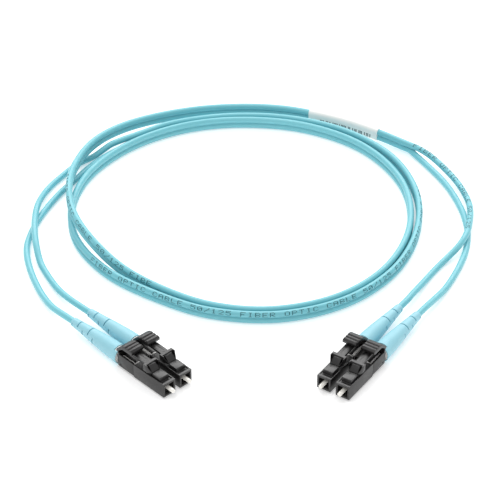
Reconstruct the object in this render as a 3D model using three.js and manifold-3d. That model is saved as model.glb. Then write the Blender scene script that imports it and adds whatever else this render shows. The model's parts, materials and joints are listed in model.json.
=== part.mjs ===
// Duplex fibre optic patch cord: two duplex plug pairs joined by a figure-of-eight cord.
// Units are millimetres, +Z is up, and the table that the cord lies on is z = 0.
// Each simplex plug is drawn in a plug frame: +X points out of the plug along its ferrule,
// +Z is up, and the origin is on the ferrule's axis at the housing's front face.

import * as THREE from 'three';
import { mergeVertices } from 'three/addons/utils/BufferGeometryUtils.js';
import Module from 'manifold-3d';

const wasm = await Module();
wasm.setup();

// ---------------------------------------------------------------- driving dimensions

const PLUG_PITCH = 6.25;
const PLUG_WIDTH = 4.5;
const HOUSING_LENGTH = 13.0;
const HOUSING_WALL = 0.6;
const RECESS_DEPTH = 2.6;
const PARTITION = 0.7;
const REAR_WINDOW = 2.8;

const FERRULE_DIAMETER = 1.25;
const FERRULE_PROUD = 2.0;
const FERRULE_LENGTH = 6.5;
const FERRULE_CHAMFER = 0.2;
const FLANGE_DIAMETER = 2.6;
const FLANGE_LENGTH = 1.6;
const FLANGE_TAIL_DIAMETER = 1.7;
const FLANGE_TAIL_LENGTH = 4.4;
const FERRULE_TRAVEL = 0.9;

const SPRING_DIAMETER = 2.5;
const SPRING_WIRE = 0.3;
const SPRING_TURNS = 5;

const BUFFER_DIAMETER = 0.9;
const REAR_NOSE_LENGTH = 2.2;
const SHANK_DIAMETER = 3.2;
const COLLAR_DIAMETER = 5.7;
const COLLAR_LENGTH = 1.2;
const BARREL_DIAMETER = 2.5;
const BARREL_LENGTH = 4.6;
const CRIMP_WALL = 0.25;
const CRIMP_LENGTH = 6.6;

const BOOT_DIAMETER = 5.5;
const BOOT_TIP_DIAMETER = 2.8;
const BOOT_SHOULDER_DIAMETER = 4.1;
const BOOT_LENGTH = 20.2;
const BOOT_TIP_TAPER = 8.7;
const BOOT_TIP_ROUND = 0.3;
const SLIT_COUNT = 5;
const SLIT_WIDTH = 0.45;
const SLIT_START = 0.65;
const SLIT_PITCH = 2.5;

const ROOT_BLOCK_LENGTH = 3.3;
const ROOT_BLOCK_SETBACK = 2.1;
const ROOT_BLOCK_WIDTH = 3.2;
const ROOT_BLOCK_HEIGHT = 0.9;
const LATCH_WIDTH = 2.5;
const LATCH_THICKNESS = 0.7;
const LATCH_OVERHANG = 1.7;      // how far the arm reaches past the housing, under the trigger
const LATCH_LIFT = 1.65;
const SHOULDER_LENGTH = 1.3;

const CLIP_LENGTH = 7.0;
const CLIP_WALL = 0.6;
const CLIP_YOKE = 1.2;
const CLIP_LIFT = 0.4;
const CLIP_FLOOR = 0.4;
const TRIGGER_WIDTH = 4.5;
const TRIGGER_LENGTH = 6.9;
const TRIGGER_THICKNESS = 1.3;
const TRIGGER_SPINE = 1.0;
const TRIGGER_RIBS = 3;
const RIB_HEIGHT = 0.25;

const TUBE_DIAMETER = 2.0;
const WEB_THICKNESS = 1.1;

const SLIP = 0.06;              // radial room between a piece and the bore round it
const BUTT = 0.08;              // room between faces that meet inside a plug
const MEET = 0.3;               // room between cord solids, and between a boot and its cord

// Where the two connectors lie, about the middle of the cord's loop, and which way they point.
const LOOP_CENTRE = [0.106, 70.888];
const CONNECTORS = [
  { side: 'left', place: [-19.5, -86.0], heading: -46.5 },
  { side: 'right', place: [24.5, -87.8], heading: -123.6 },
];
const CHANNELS = [['a', 1], ['b', -1]];

// The figure-of-eight cord stands on edge and winds a little over two turns, clockwise from
// above. Each point: turn angle in degrees, distance from the loop's middle, height.
const CORD_ROUTE = [
  [130, 54.2, 2.1], [118, 53.6, 2.1], [96, 52.3, 2.1], [74, 52.6, 2.1], [52, 53.8, 2.1],
  [30, 54.6, 2.1], [8, 54.2, 2.1], [-14, 54.0, 2.1], [-36, 54.9, 2.1], [-58, 55.6, 2.1],
  [-80, 55.2, 2.1], [-102, 53.6, 2.1], [-122, 52.1, 2.1], [-142, 53.4, 2.1], [-162, 54.9, 2.1],
  [-180, 54.9, 2.1], [-200, 54.0, 2.1], [-222, 52.2, 2.1], [-244, 50.8, 2.1], [-266, 49.8, 2.1],
  [-292, 50.2, 2.1], [-318, 51.1, 2.1], [-345, 51.3, 2.1], [-372, 51.5, 2.1], [-398, 52.6, 2.1],
  [-420, 53.2, 2.1], [-442, 52.6, 2.1], [-462, 50.9, 2.1], [-482, 49.0, 2.2], [-499, 49.9, 3.3],
  [-514, 52.0, 5.9], [-530, 54.2, 6.6], [-546, 56.2, 6.4], [-560, 58.2, 5.3], [-574, 59.5, 5.0],
  [-590, 59.5, 3.7], [-615, 58.0, 2.4], [-640, 57.1, 2.6], [-662, 57.8, 2.7], [-676, 59.9, 2.6],
  [-685, 62.4, 2.4],
];
const CORD_STEPS = 80;

// The four split legs, from boot to figure-of-eight: x and y about the loop's middle, height.
// The first point of each comes from its boot and the last from the cord's end.
const LEGS = {
  left_a: {
    joins: 'start', above: true, steps: 12,
    points: [
      [-49.6, -49.9, 2.8], [-53.2, -45.4, 2.2], [-56.6, -40.0, 1.4], [-60.0, -33.2, 1.05],
      [-62.8, -26.6, 1.3], [-64.5, -19.8, 2.7], [-65.5, -13.0, 3.2], [-65.9, -6.5, 3.2],
      [-65.7, 0.0, 3.1], [-65.0, 5.7, 2.2], [-63.8, 11.0, 1.3], [-61.8, 15.6, 1.05],
      [-59.3, 19.8, 1.05], [-57.0, 23.4, 1.05], [-54.0, 27.4, 1.05], [-49.7, 31.0, 1.15],
      [-46.9, 33.3, 2.0], [-44.4, 35.2, 2.9], [-40.4, 38.0, 3.1],
    ],
  },
  left_b: {
    joins: 'start', above: false, steps: 12,
    points: [
      [-54.2, -54.0, 2.7], [-57.6, -49.6, 2.0], [-60.9, -43.2, 1.3], [-63.7, -36.2, 1.05],
      [-65.9, -29.2, 1.05], [-67.2, -23.0, 1.05], [-67.6, -17.5, 1.05], [-67.0, -12.2, 1.05],
      [-65.8, -6.8, 1.05], [-64.0, -0.8, 1.05], [-61.4, 5.8, 1.05], [-59.0, 10.9, 1.05],
      [-57.0, 14.4, 1.05], [-54.4, 18.6, 1.05], [-51.4, 23.8, 1.05], [-47.3, 29.5, 1.05],
      [-41.9, 35.0, 1.05],
    ],
  },
  right_a: {
    joins: 'end', above: false, steps: 11,
    points: [
      [53.2, -50.3, 2.7], [56.1, -45.6, 2.0], [59.6, -39.6, 1.2], [63.6, -31.0, 1.05],
      [66.6, -22.6, 1.05], [68.1, -15.2, 1.05], [68.5, -8.6, 1.05], [67.9, -1.2, 1.05],
      [66.9, 4.0, 1.05], [65.6, 9.0, 1.05], [63.8, 14.4, 1.05], [61.6, 19.4, 1.05],
      [59.2, 24.0, 1.05], [56.9, 28.2, 1.05], [54.8, 31.6, 1.2],
    ],
  },
  right_b: {
    joins: 'end', above: true, steps: 11,
    points: [
      [47.8, -47.1, 2.8], [49.6, -43.6, 2.4], [51.9, -39.2, 1.7], [54.6, -34.2, 1.1],
      [58.2, -28.4, 1.05], [61.6, -24.0, 1.5], [64.3, -20.9, 2.4], [66.3, -17.9, 3.1],
      [68.0, -13.6, 3.2], [69.2, -8.0, 3.2], [69.9, -1.8, 2.9], [69.8, 3.6, 2.4],
      [68.7, 9.4, 2.2], [66.6, 15.9, 2.2], [63.9, 21.6, 2.3], [61.3, 26.0, 2.6],
      [58.6, 29.7, 2.9], [55.7, 32.5, 3.2],
    ],
  },
};

// The identification label is a sleeve round the cord, between two turn angles of its route.
const LABEL_FROM = -650.5;
const LABEL_TO = -676;
const LABEL_WALL = 0.2;
const LABEL_ROOM = 0.3;
const LABEL_STEPS = 8;

// ---------------------------------------------------------------- derived dimensions

const HALF = PLUG_WIDTH / 2;
const AXIS_HEIGHT = COLLAR_DIAMETER / 2;
const FERRULE_END = FERRULE_PROUD - FERRULE_LENGTH;
const FLANGE_FRONT = -RECESS_DEPTH - PARTITION - BUTT;
const FLANGE_BACK = FLANGE_FRONT - FLANGE_LENGTH;
const FLANGE_END = FLANGE_BACK - FLANGE_TAIL_LENGTH;
const CLIP_FRONT = -HOUSING_LENGTH - MEET;
const CLIP_BACK = CLIP_FRONT - CLIP_LENGTH;
const NOSE_FRONT = -HOUSING_LENGTH + REAR_NOSE_LENGTH;
const COLLAR_FRONT = CLIP_BACK - MEET;
const COLLAR_BACK = COLLAR_FRONT - COLLAR_LENGTH;
const BARREL_BACK = COLLAR_BACK - BARREL_LENGTH;
const CRIMP_FRONT = COLLAR_BACK - BUTT;
const CRIMP_BACK = CRIMP_FRONT - CRIMP_LENGTH;
const CRIMP_OUTER = BARREL_DIAMETER / 2 + SLIP + CRIMP_WALL;
const JACKET_FRONT = BARREL_BACK - BUTT;
const BOOT_FRONT = COLLAR_BACK - BUTT;
const BOOT_BACK = BOOT_FRONT - BOOT_LENGTH;
const LATCH_FRONT = -ROOT_BLOCK_SETBACK - ROOT_BLOCK_LENGTH - MEET;
const LATCH_BACK = -HOUSING_LENGTH - LATCH_OVERHANG;
const TRIGGER_UNDERSIDE = HALF + LATCH_LIFT + LATCH_THICKNESS + MEET;

// ---------------------------------------------------------------- materials

const MATERIALS = {
  zirconia: { color: 0xf4f2ec, roughness: 0.18, metalness: 0 },
  steel: { color: 0xb9bcc0, roughness: 0.3, metalness: 1 },
  black_plastic: { color: 0x2b2b2e, roughness: 0.45, metalness: 0 },
  white_plastic: { color: 0xf1f1ee, roughness: 0.4, metalness: 0 },
  crimp_metal: { color: 0xc9b98f, roughness: 0.35, metalness: 1 },
  aqua_rubber: { color: 0x9adbe3, roughness: 0.55, metalness: 0 },
  aqua_jacket: { color: 0x7fcbd6, roughness: 0.5, metalness: 0 },
  buffer_coat: { color: 0xe9f0f0, roughness: 0.5, metalness: 0 },
  label_paper: { color: 0xf7f7f5, roughness: 0.7, metalness: 0 },
};

// ---------------------------------------------------------------- shape helpers

/** A closed three.js geometry as a solid, its shared vertices merged. */
function toSolid(geometry) {
  const bare = geometry.clone();
  bare.deleteAttribute('normal');
  bare.deleteAttribute('uv');
  const merged = mergeVertices(bare, 1e-4);
  const corners = merged.index.array;
  const triangles = [];
  for (let i = 0; i < corners.length; i += 3) {
    const [a, b, c] = [corners[i], corners[i + 1], corners[i + 2]];
    if (a !== b && b !== c && c !== a) {
      triangles.push(a, b, c);
    }
  }
  const vertProperties = new Float32Array(merged.attributes.position.array);
  const triVerts = new Uint32Array(triangles);
  return new wasm.Manifold(new wasm.Mesh({ numProp: 3, vertProperties, triVerts }));
}

/** A solid as a three.js geometry. */
function toGeometry(solid) {
  const { vertProperties, triVerts } = solid.getMesh();
  const geometry = new THREE.BufferGeometry();
  geometry.setAttribute('position', new THREE.BufferAttribute(vertProperties, 3));
  geometry.setIndex(new THREE.BufferAttribute(triVerts, 1));
  geometry.computeVertexNormals();
  return geometry;
}

/** A box from its low and high corners. */
function block([x0, y0, z0], [x1, y1, z1]) {
  const geometry = new THREE.BoxGeometry(x1 - x0, y1 - y0, z1 - z0);
  geometry.translate((x0 + x1) / 2, (y0 + y1) / 2, (z0 + z1) / 2);
  return toSolid(geometry);
}

/** A solid turned about the X axis from [along, radius] points; a ring's outline closes itself. */
function turned(outline, sides) {
  const points = outline.map(([along, radius]) => new THREE.Vector2(radius, along));
  if (THREE.ShapeUtils.area(points) < 0) {
    points.reverse();
  }
  if (points[0].x > 0) {
    points.push(points[0].clone());
  }
  const geometry = new THREE.LatheGeometry(points, sides);
  geometry.rotateZ(-Math.PI / 2);
  return toSolid(geometry);
}

/** A plain round rod along X. */
function rod(back, front, diameter, sides) {
  return turned([[back, 0], [back, diameter / 2], [front, diameter / 2], [front, 0]], sides);
}

/** A side outline of [x, z] points, extruded across from y0 to y1. */
function plate(outline, y0, y1) {
  const shape = new THREE.Shape(outline.map(([x, z]) => new THREE.Vector2(x, z)));
  const geometry = new THREE.ExtrudeGeometry(shape, { depth: y1 - y0, bevelEnabled: false });
  geometry.rotateX(Math.PI / 2);
  geometry.translate(0, y1, 0);
  return toSolid(geometry);
}

/** A section swept along a curve in equal steps. */
function swept(section, curve, steps) {
  const shape = new THREE.Shape(section);
  return new THREE.ExtrudeGeometry(shape, { steps, bevelEnabled: false, extrudePath: curve });
}

/** A regular polygon round a circle's middle, as section points. */
function roundSection(diameter, sides) {
  return Array.from({ length: sides }, (_, i) => {
    const angle = ((i + 0.5) / sides) * 2 * Math.PI;
    return new THREE.Vector2(Math.cos(angle), Math.sin(angle)).multiplyScalar(diameter / 2);
  });
}

// ---------------------------------------------------------------- simplex plug, in the plug frame

/** Zirconia ferrule: a ground rod with a chamfered nose that holds the fibre. */
function ferrule() {
  const radius = FERRULE_DIAMETER / 2;
  return turned([
    [FERRULE_END, 0], [FERRULE_END, radius], [FERRULE_PROUD - FERRULE_CHAMFER, radius],
    [FERRULE_PROUD, radius - FERRULE_CHAMFER], [FERRULE_PROUD, 0],
  ], 16);
}

/** Ferrule holder: a flange that the ferrule seats in, with a tail inside the spring. */
function ferruleFlange() {
  const bore = FERRULE_DIAMETER / 2 + SLIP;
  const tailBore = BUFFER_DIAMETER / 2 + SLIP;
  return turned([
    [FLANGE_FRONT, bore], [FLANGE_FRONT, FLANGE_DIAMETER / 2], [FLANGE_BACK, FLANGE_DIAMETER / 2],
    [FLANGE_BACK, FLANGE_TAIL_DIAMETER / 2], [FLANGE_END, FLANGE_TAIL_DIAMETER / 2],
    [FLANGE_END, tailBore], [FERRULE_END - BUTT, tailBore], [FERRULE_END - BUTT, bore],
  ], 12);
}

/** Compression spring between the flange and the rear body's nose. */
function spring() {
  const radius = (SPRING_DIAMETER - SPRING_WIRE) / 2;
  const front = FLANGE_BACK - BUTT - SPRING_WIRE / 2;
  const back = NOSE_FRONT + BUTT + SPRING_WIRE / 2;
  class Helix extends THREE.Curve {
    getPoint(t, target = new THREE.Vector3()) {
      const angle = t * SPRING_TURNS * 2 * Math.PI;
      const along = back + (front - back) * t;
      return target.set(along, radius * Math.cos(angle), radius * Math.sin(angle));
    }
  }
  return toSolid(swept(roundSection(SPRING_WIRE, 5), new Helix(), SPRING_TURNS * 9));
}

/** Plug housing: square shell with the ferrule's recess, a partition and the latch's root. */
function plugHousing() {
  const inner = HALF - HOUSING_WALL;
  const cavityFront = -RECESS_DEPTH - PARTITION;
  const blockFront = -ROOT_BLOCK_SETBACK;
  const blockTop = HALF + ROOT_BLOCK_HEIGHT;
  const shell = block([-HOUSING_LENGTH, -HALF, -HALF], [0, HALF, HALF]);
  const root = plate([
    [blockFront, HALF - 0.1], [blockFront - 0.15, blockTop - 0.2], [blockFront - 0.5, blockTop],
    [blockFront - ROOT_BLOCK_LENGTH, blockTop], [blockFront - ROOT_BLOCK_LENGTH, HALF - 0.1],
  ], -ROOT_BLOCK_WIDTH / 2, ROOT_BLOCK_WIDTH / 2);
  const recess = block([-RECESS_DEPTH, -inner, -inner], [1, inner, inner]);
  const cavity = block([-HOUSING_LENGTH - 1, -inner, -inner], [cavityFront, inner, inner]);
  const passage = rod(cavityFront - 1, 0, FERRULE_DIAMETER + 4 * SLIP, 16);
  const window = block(
    [-HOUSING_LENGTH - 1, -LATCH_WIDTH / 2, 0],
    [-HOUSING_LENGTH + REAR_WINDOW, LATCH_WIDTH / 2, HALF + 1],
  );
  return shell.add(root).subtract(recess).subtract(cavity).subtract(passage).subtract(window);
}

/** Latch arm: springy arm from the root block with locking shoulders and a tail. */
function latchArm() {
  const low = HALF + MEET;
  const top = HALF + LATCH_LIFT + LATCH_THICKNESS;
  const under = top - LATCH_THICKNESS;
  const rampFoot = LATCH_FRONT - 0.6;
  const shoulderFront = rampFoot - 1.5;
  const shoulderBack = shoulderFront - SHOULDER_LENGTH;
  const arm = plate([
    [LATCH_FRONT, low], [LATCH_FRONT, low + LATCH_THICKNESS * 0.8],
    [rampFoot, low + LATCH_THICKNESS * 0.8], [shoulderFront, top], [LATCH_BACK, top + 0.15],
    [LATCH_BACK, under + 0.15], [shoulderBack, under], [shoulderFront, low],
  ], -LATCH_WIDTH / 2, LATCH_WIDTH / 2);
  const shoulders = plate([
    [shoulderFront + 0.3, low + 0.2], [shoulderFront, top], [shoulderBack, top],
    [shoulderBack, low + 0.2],
  ], -HALF, HALF);
  return arm.add(shoulders);
}

/** Rear body: nose inside the housing, shank through the clip, collar and crimp barrel. */
function rearBody() {
  const bore = FLANGE_TAIL_DIAMETER / 2 + SLIP;
  return turned([
    [NOSE_FRONT, bore], [NOSE_FRONT, SHANK_DIAMETER / 2], [COLLAR_FRONT, SHANK_DIAMETER / 2],
    [COLLAR_FRONT, COLLAR_DIAMETER / 2], [COLLAR_BACK, COLLAR_DIAMETER / 2],
    [COLLAR_BACK, BARREL_DIAMETER / 2], [BARREL_BACK, BARREL_DIAMETER / 2], [BARREL_BACK, bore],
  ], 20);
}

/** Crimp sleeve: grips the aramid yarn on the barrel and necks down on the jacket. */
function crimpSleeve() {
  const wide = BARREL_DIAMETER / 2 + SLIP;
  const narrow = TUBE_DIAMETER / 2 + SLIP;
  const step = BARREL_BACK - BUTT;
  return turned([
    [CRIMP_FRONT, wide], [CRIMP_FRONT, CRIMP_OUTER], [step, CRIMP_OUTER],
    [step - CRIMP_WALL, narrow + CRIMP_WALL], [CRIMP_BACK, narrow + CRIMP_WALL],
    [CRIMP_BACK, narrow], [step, narrow], [step, wide],
  ], 14);
}

/** Strain relief boot: tapered sleeve with half-ring slits, by turns from below and above. */
function boot() {
  const wideBore = CRIMP_OUTER + SLIP;
  const narrowBore = TUBE_DIAMETER / 2 + 2 * SLIP;
  const shoulder = BOOT_BACK + BOOT_TIP_TAPER;
  const boreStep = CRIMP_BACK - BUTT;
  let body = turned([
    [BOOT_FRONT, wideBore], [BOOT_FRONT, BOOT_DIAMETER / 2], [shoulder, BOOT_SHOULDER_DIAMETER / 2],
    [BOOT_BACK + BOOT_TIP_ROUND, BOOT_TIP_DIAMETER / 2], [BOOT_BACK, narrowBore + 0.1],
    [BOOT_BACK, narrowBore], [boreStep, narrowBore], [boreStep, wideBore],
  ], 16);
  for (let i = 0; i < SLIT_COUNT; i += 1) {
    const at = BOOT_BACK + SLIT_START + i * SLIT_PITCH;
    const out = i % 2 === 0 ? -1 : 1;
    const cut = block(
      [at, -4, Math.min(0, out * 4)],
      [at + SLIT_WIDTH, 4, Math.max(0, out * 4)],
    );
    body = body.subtract(cut);
  }
  return body;
}

/** Buffered fibre from the flange's tail to the jacket's end. */
function bufferedFibre() {
  const front = FERRULE_END - BUTT - FERRULE_TRAVEL - MEET;
  return rod(JACKET_FRONT + BUTT, front, BUFFER_DIAMETER, 8);
}

/** The leg's jacket inside the crimp sleeve and the boot. */
function jacketEnd() {
  return rod(BOOT_BACK, JACKET_FRONT, TUBE_DIAMETER, 12);
}

// ---------------------------------------------------------------- duplex clip, in the pair's frame

/** Duplex clip: U-shaped tray that holds two rear bodies at the pitch, with a tall rear yoke. */
function duplexClip() {
  const side = PLUG_PITCH / 2 + HALF;
  const low = -HALF + CLIP_LIFT;
  const yokeTop = HALF + 0.7;
  const yokeFront = CLIP_BACK + CLIP_YOKE;
  const floorTop = -SHANK_DIAMETER / 2 - SLIP;
  const tray = block([CLIP_BACK, -side, low], [CLIP_FRONT, side, HALF]);
  const hollow = block(
    [yokeFront, -side + CLIP_WALL, floorTop],
    [CLIP_FRONT + 1, side - CLIP_WALL, HALF + 1],
  );
  const divider = block([yokeFront - 0.1, -0.5, low], [CLIP_FRONT, 0.5, HALF - 0.6]);
  const floor = block([CLIP_BACK, -side + 1, low - CLIP_FLOOR / 2], [CLIP_FRONT, side - 1, low + 0.1]);
  const yoke = block([CLIP_BACK, -side, 0], [yokeFront, side, yokeTop]);
  let clip = tray.subtract(hollow).add(divider).add(floor).add(yoke);
  for (const [, sign] of CHANNELS) {
    const hole = rod(CLIP_BACK - 1, yokeFront + 1, SHANK_DIAMETER + 2 * SLIP, 20);
    clip = clip.subtract(hole.translate([0, (sign * PLUG_PITCH) / 2, 0]));
  }
  return clip;
}

/** Trigger: ribbed thumb pad on a spine that flexes at the top of the clip's yoke. */
function trigger() {
  const foot = HALF + 0.7 + BUTT;
  const top = TRIGGER_UNDERSIDE + TRIGGER_THICKNESS;
  const back = CLIP_BACK;
  const front = back + TRIGGER_LENGTH;
  const half = TRIGGER_WIDTH / 2;
  let pad = plate([
    [back, foot], [back, foot + 0.8], [back + 0.8, top - 1.6], [back + 1.6, top - 0.85],
    [back + 2.4, top - 0.25], [back + 3.1, top], [front - 0.5, top], [front, top - 0.5],
    [front, TRIGGER_UNDERSIDE + 0.2], [front - 0.3, TRIGGER_UNDERSIDE],
    [back + TRIGGER_SPINE + 1.7, TRIGGER_UNDERSIDE],
    [back + TRIGGER_SPINE + 0.9, TRIGGER_UNDERSIDE - 0.6],
    [back + TRIGGER_SPINE, foot + 0.4], [back + TRIGGER_SPINE, foot],
  ], -half, half);
  const pitch = (TRIGGER_LENGTH - 3.4) / TRIGGER_RIBS;
  for (let i = 0; i < TRIGGER_RIBS; i += 1) {
    const at = front - 0.5 - i * pitch;
    const rib = plate([
      [at - pitch * 0.65, top - 0.1], [at - pitch * 0.5, top + RIB_HEIGHT],
      [at - pitch * 0.15, top + RIB_HEIGHT], [at, top - 0.1],
    ], -half, half);
    pad = pad.add(rib);
  }
  return pad;
}

// ---------------------------------------------------------------- cord

/** Catmull-Rom curve through points given about the loop's middle. */
function loopCurve(points) {
  const placed = points.map(([x, y, z]) => {
    return new THREE.Vector3(x + LOOP_CENTRE[0], y + LOOP_CENTRE[1], z);
  });
  return new THREE.CatmullRomCurve3(placed, false, 'centripetal');
}

/** A route point of turn angle, distance and height as x, y, z about the loop's middle. */
function fromTurn([angle, distance, height]) {
  const turn = THREE.MathUtils.degToRad(angle);
  return [distance * Math.cos(turn), distance * Math.sin(turn), height];
}

/** The figure-of-eight section, on edge: its long side is vertical once swept. */
function cordSection(grow) {
  const radius = TUBE_DIAMETER / 2 + grow;
  const reach = TUBE_DIAMETER + grow;
  const waist = WEB_THICKNESS / 2 + grow;
  const quarter = [
    [reach, radius * 0.42], [reach - radius * 0.58, radius], [0, waist],
    [-reach + radius * 0.58, radius], [-reach, radius * 0.42],
  ];
  const back = quarter.map(([x, y]) => [-x, -y]);
  return [...quarter, ...back].map(([x, y]) => new THREE.Vector2(x, y));
}

/** The identification label: a thin sleeve wrapped round one stretch of the cord. */
function labelSleeve(route) {
  const [from, to] = [parameterAt(LABEL_FROM), parameterAt(LABEL_TO)];
  const points = Array.from({ length: LABEL_STEPS + 1 }, (_, i) => {
    return route.getPoint(from + ((to - from) * i) / LABEL_STEPS);
  });
  const stretch = new THREE.CatmullRomCurve3(points, false, 'centripetal');
  const outer = toSolid(swept(cordSection(LABEL_ROOM + LABEL_WALL), stretch, LABEL_STEPS));
  const longer = new THREE.CatmullRomCurve3([
    points[0].clone().lerp(points[1], -0.3), ...points,
    points[LABEL_STEPS].clone().lerp(points[LABEL_STEPS - 1], -0.3),
  ], false, 'centripetal');
  return outer.subtract(toSolid(swept(cordSection(LABEL_ROOM), longer, LABEL_STEPS * 2)));
}

/** Curve parameter of the cord's route at a turn angle. */
function parameterAt(angle) {
  const last = CORD_ROUTE.length - 1;
  const next = CORD_ROUTE.findIndex(([turn]) => turn <= angle);
  const [before, after] = [CORD_ROUTE[next - 1][0], CORD_ROUTE[next][0]];
  return (next - 1 + (before - angle) / (before - after)) / last;
}

/** One leg's curve: out of its boot, along its points and onto its half of the cord's end. */
function legCurve(name, cord, bootEnd, outward) {
  const { joins, above, points } = LEGS[name];
  const atEnd = joins === 'end';
  const tip = cord.getPoint(atEnd ? 1 : 0);
  const away = cord.getTangent(atEnd ? 1 : 0).multiplyScalar(atEnd ? 1 : -1);
  tip.z += above ? TUBE_DIAMETER / 2 : -TUBE_DIAMETER / 2;
  const first = bootEnd.clone().addScaledVector(outward, MEET);
  const middle = loopCurve(points).points;
  const leadIn = tip.clone().addScaledVector(away, MEET + TUBE_DIAMETER);
  const last = tip.clone().addScaledVector(away, MEET);
  return new THREE.CatmullRomCurve3([first, ...middle, leadIn, last], false, 'centripetal');
}

// ---------------------------------------------------------------- assembly

const patchCord = new THREE.Group();

/** Adds one named piece to a group. */
function addPiece(group, name, shape, finish) {
  const geometry = shape.isBufferGeometry ? shape : toGeometry(shape);
  const mesh = new THREE.Mesh(geometry, new THREE.MeshStandardMaterial(MATERIALS[finish]));
  mesh.name = name;
  group.add(mesh);
  return mesh;
}

const PLUG_PIECES = [
  ['ferrule', ferrule, 'zirconia'],
  ['ferrule_flange', ferruleFlange, 'steel'],
  ['ferrule_spring', spring, 'steel'],
  ['plug_housing', plugHousing, 'black_plastic'],
  ['latch_arm', latchArm, 'black_plastic'],
  ['rear_body', rearBody, 'white_plastic'],
  ['crimp_sleeve', crimpSleeve, 'crimp_metal'],
  ['boot', boot, 'aqua_rubber'],
  ['buffered_fibre', bufferedFibre, 'buffer_coat'],
  ['jacket_end', jacketEnd, 'aqua_jacket'],
  ['trigger', trigger, 'black_plastic'],
];

const bootEnds = {};
for (const { side, place, heading } of CONNECTORS) {
  const pair = new THREE.Group();
  pair.position.set(place[0] + LOOP_CENTRE[0], place[1] + LOOP_CENTRE[1], AXIS_HEIGHT);
  pair.rotation.z = THREE.MathUtils.degToRad(heading);
  patchCord.add(pair);
  addPiece(pair, `duplex_clip_${side}`, duplexClip(), 'black_plastic');
  for (const [channel, sign] of CHANNELS) {
    const plug = new THREE.Group();
    plug.position.set(0, (sign * PLUG_PITCH) / 2, 0);
    pair.add(plug);
    for (const [name, make, finish] of PLUG_PIECES) {
      addPiece(plug, `${name}_${side}_${channel}`, make(), finish);
    }
    plug.updateWorldMatrix(true, false);
    bootEnds[`${side}_${channel}`] = {
      end: plug.localToWorld(new THREE.Vector3(BOOT_BACK, 0, 0)),
      outward: new THREE.Vector3(-1, 0, 0).transformDirection(plug.matrixWorld),
    };
  }
}

const cord = loopCurve(CORD_ROUTE.map(fromTurn));
addPiece(patchCord, 'duplex_cord', toSolid(swept(cordSection(0), cord, CORD_STEPS)), 'aqua_jacket');
addPiece(patchCord, 'cord_label', labelSleeve(cord), 'label_paper');
for (const [name, { steps }] of Object.entries(LEGS)) {
  const { end, outward } = bootEnds[name];
  const curve = legCurve(name, cord, end, outward);
  addPiece(
    patchCord, `leg_${name}`, toSolid(swept(roundSection(TUBE_DIAMETER, 8), curve, steps)), 'aqua_jacket',
  );
}

export default patchCord;
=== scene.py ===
"""Looks of a duplex fibre optic patch cord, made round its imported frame.

The frame's axes are used throughout: +Z is up and the table that the cord lies on is z = 0.
Plug shapes are drawn in millimetres in a plug frame, whose +X points out of the plug along its
ferrule and whose origin is on the ferrule's axis at the housing's front face, and are then
placed in metres. Cord routes are in metres.
"""

import json
import logging
import math
import random
from dataclasses import dataclass
from enum import Enum

import bmesh
import bpy
from bpy.types import ID, Material, Mesh, Node, NodeSocket, NodeTree, Object
from mathutils import Matrix, Vector


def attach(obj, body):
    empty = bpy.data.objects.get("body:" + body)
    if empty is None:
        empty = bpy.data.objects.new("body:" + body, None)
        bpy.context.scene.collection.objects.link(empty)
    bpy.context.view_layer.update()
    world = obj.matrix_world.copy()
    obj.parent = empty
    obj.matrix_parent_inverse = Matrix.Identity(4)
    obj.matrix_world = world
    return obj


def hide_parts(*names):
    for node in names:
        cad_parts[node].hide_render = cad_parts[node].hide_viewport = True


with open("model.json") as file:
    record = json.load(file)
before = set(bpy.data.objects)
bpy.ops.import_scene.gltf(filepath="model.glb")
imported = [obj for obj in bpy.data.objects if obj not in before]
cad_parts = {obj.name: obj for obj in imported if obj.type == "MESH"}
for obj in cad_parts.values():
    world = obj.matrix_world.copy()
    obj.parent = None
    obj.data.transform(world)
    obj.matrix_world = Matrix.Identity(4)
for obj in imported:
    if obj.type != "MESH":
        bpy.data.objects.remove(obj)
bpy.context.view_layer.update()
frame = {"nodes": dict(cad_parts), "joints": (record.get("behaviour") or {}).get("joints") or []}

LOG = logging.getLogger("patch_cord")
MM = 0.001
UP = Vector((0, 0, 1))
Outline = list[tuple[float, float]]
Corner = tuple[float, float, float]
Face = tuple[int, ...]


# ---------------------------------------------------------------- node helpers


def linear(colour: str) -> tuple[float, float, float, float]:
    """Turns an sRGB hex colour into linear RGBA.

    Args:
        colour: such as "#86cdd9".

    Returns:
        Linear red, green and blue, and an alpha of 1.
    """
    channels = [int(colour[i : i + 2], 16) / 255 for i in (1, 3, 5)]
    red, green, blue = (
        c / 12.92 if c <= 0.04045 else ((c + 0.055) / 1.055) ** 2.4 for c in channels
    )
    return red, green, blue, 1.0


def add_node(
    tree: NodeTree, kind: str, settings: dict[str, object] | None = None,
    inputs: dict[str | int, object] | None = None,
) -> Node:
    """Adds one node to a tree with its settings and links.

    Args:
        tree: the shader or geometry tree.
        kind: the node's type name.
        settings: values for the node's own attributes.
        inputs: for each socket, by name or number, a value or the output socket that feeds it.

    Returns:
        The new node.
    """
    node = tree.nodes.new(kind)
    for key, value in (settings or {}).items():
        setattr(node, key, value)
    for key, value in (inputs or {}).items():
        if isinstance(value, NodeSocket):
            tree.links.new(value, node.inputs[key])
        else:
            node.inputs[key].default_value = value
    return node


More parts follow.
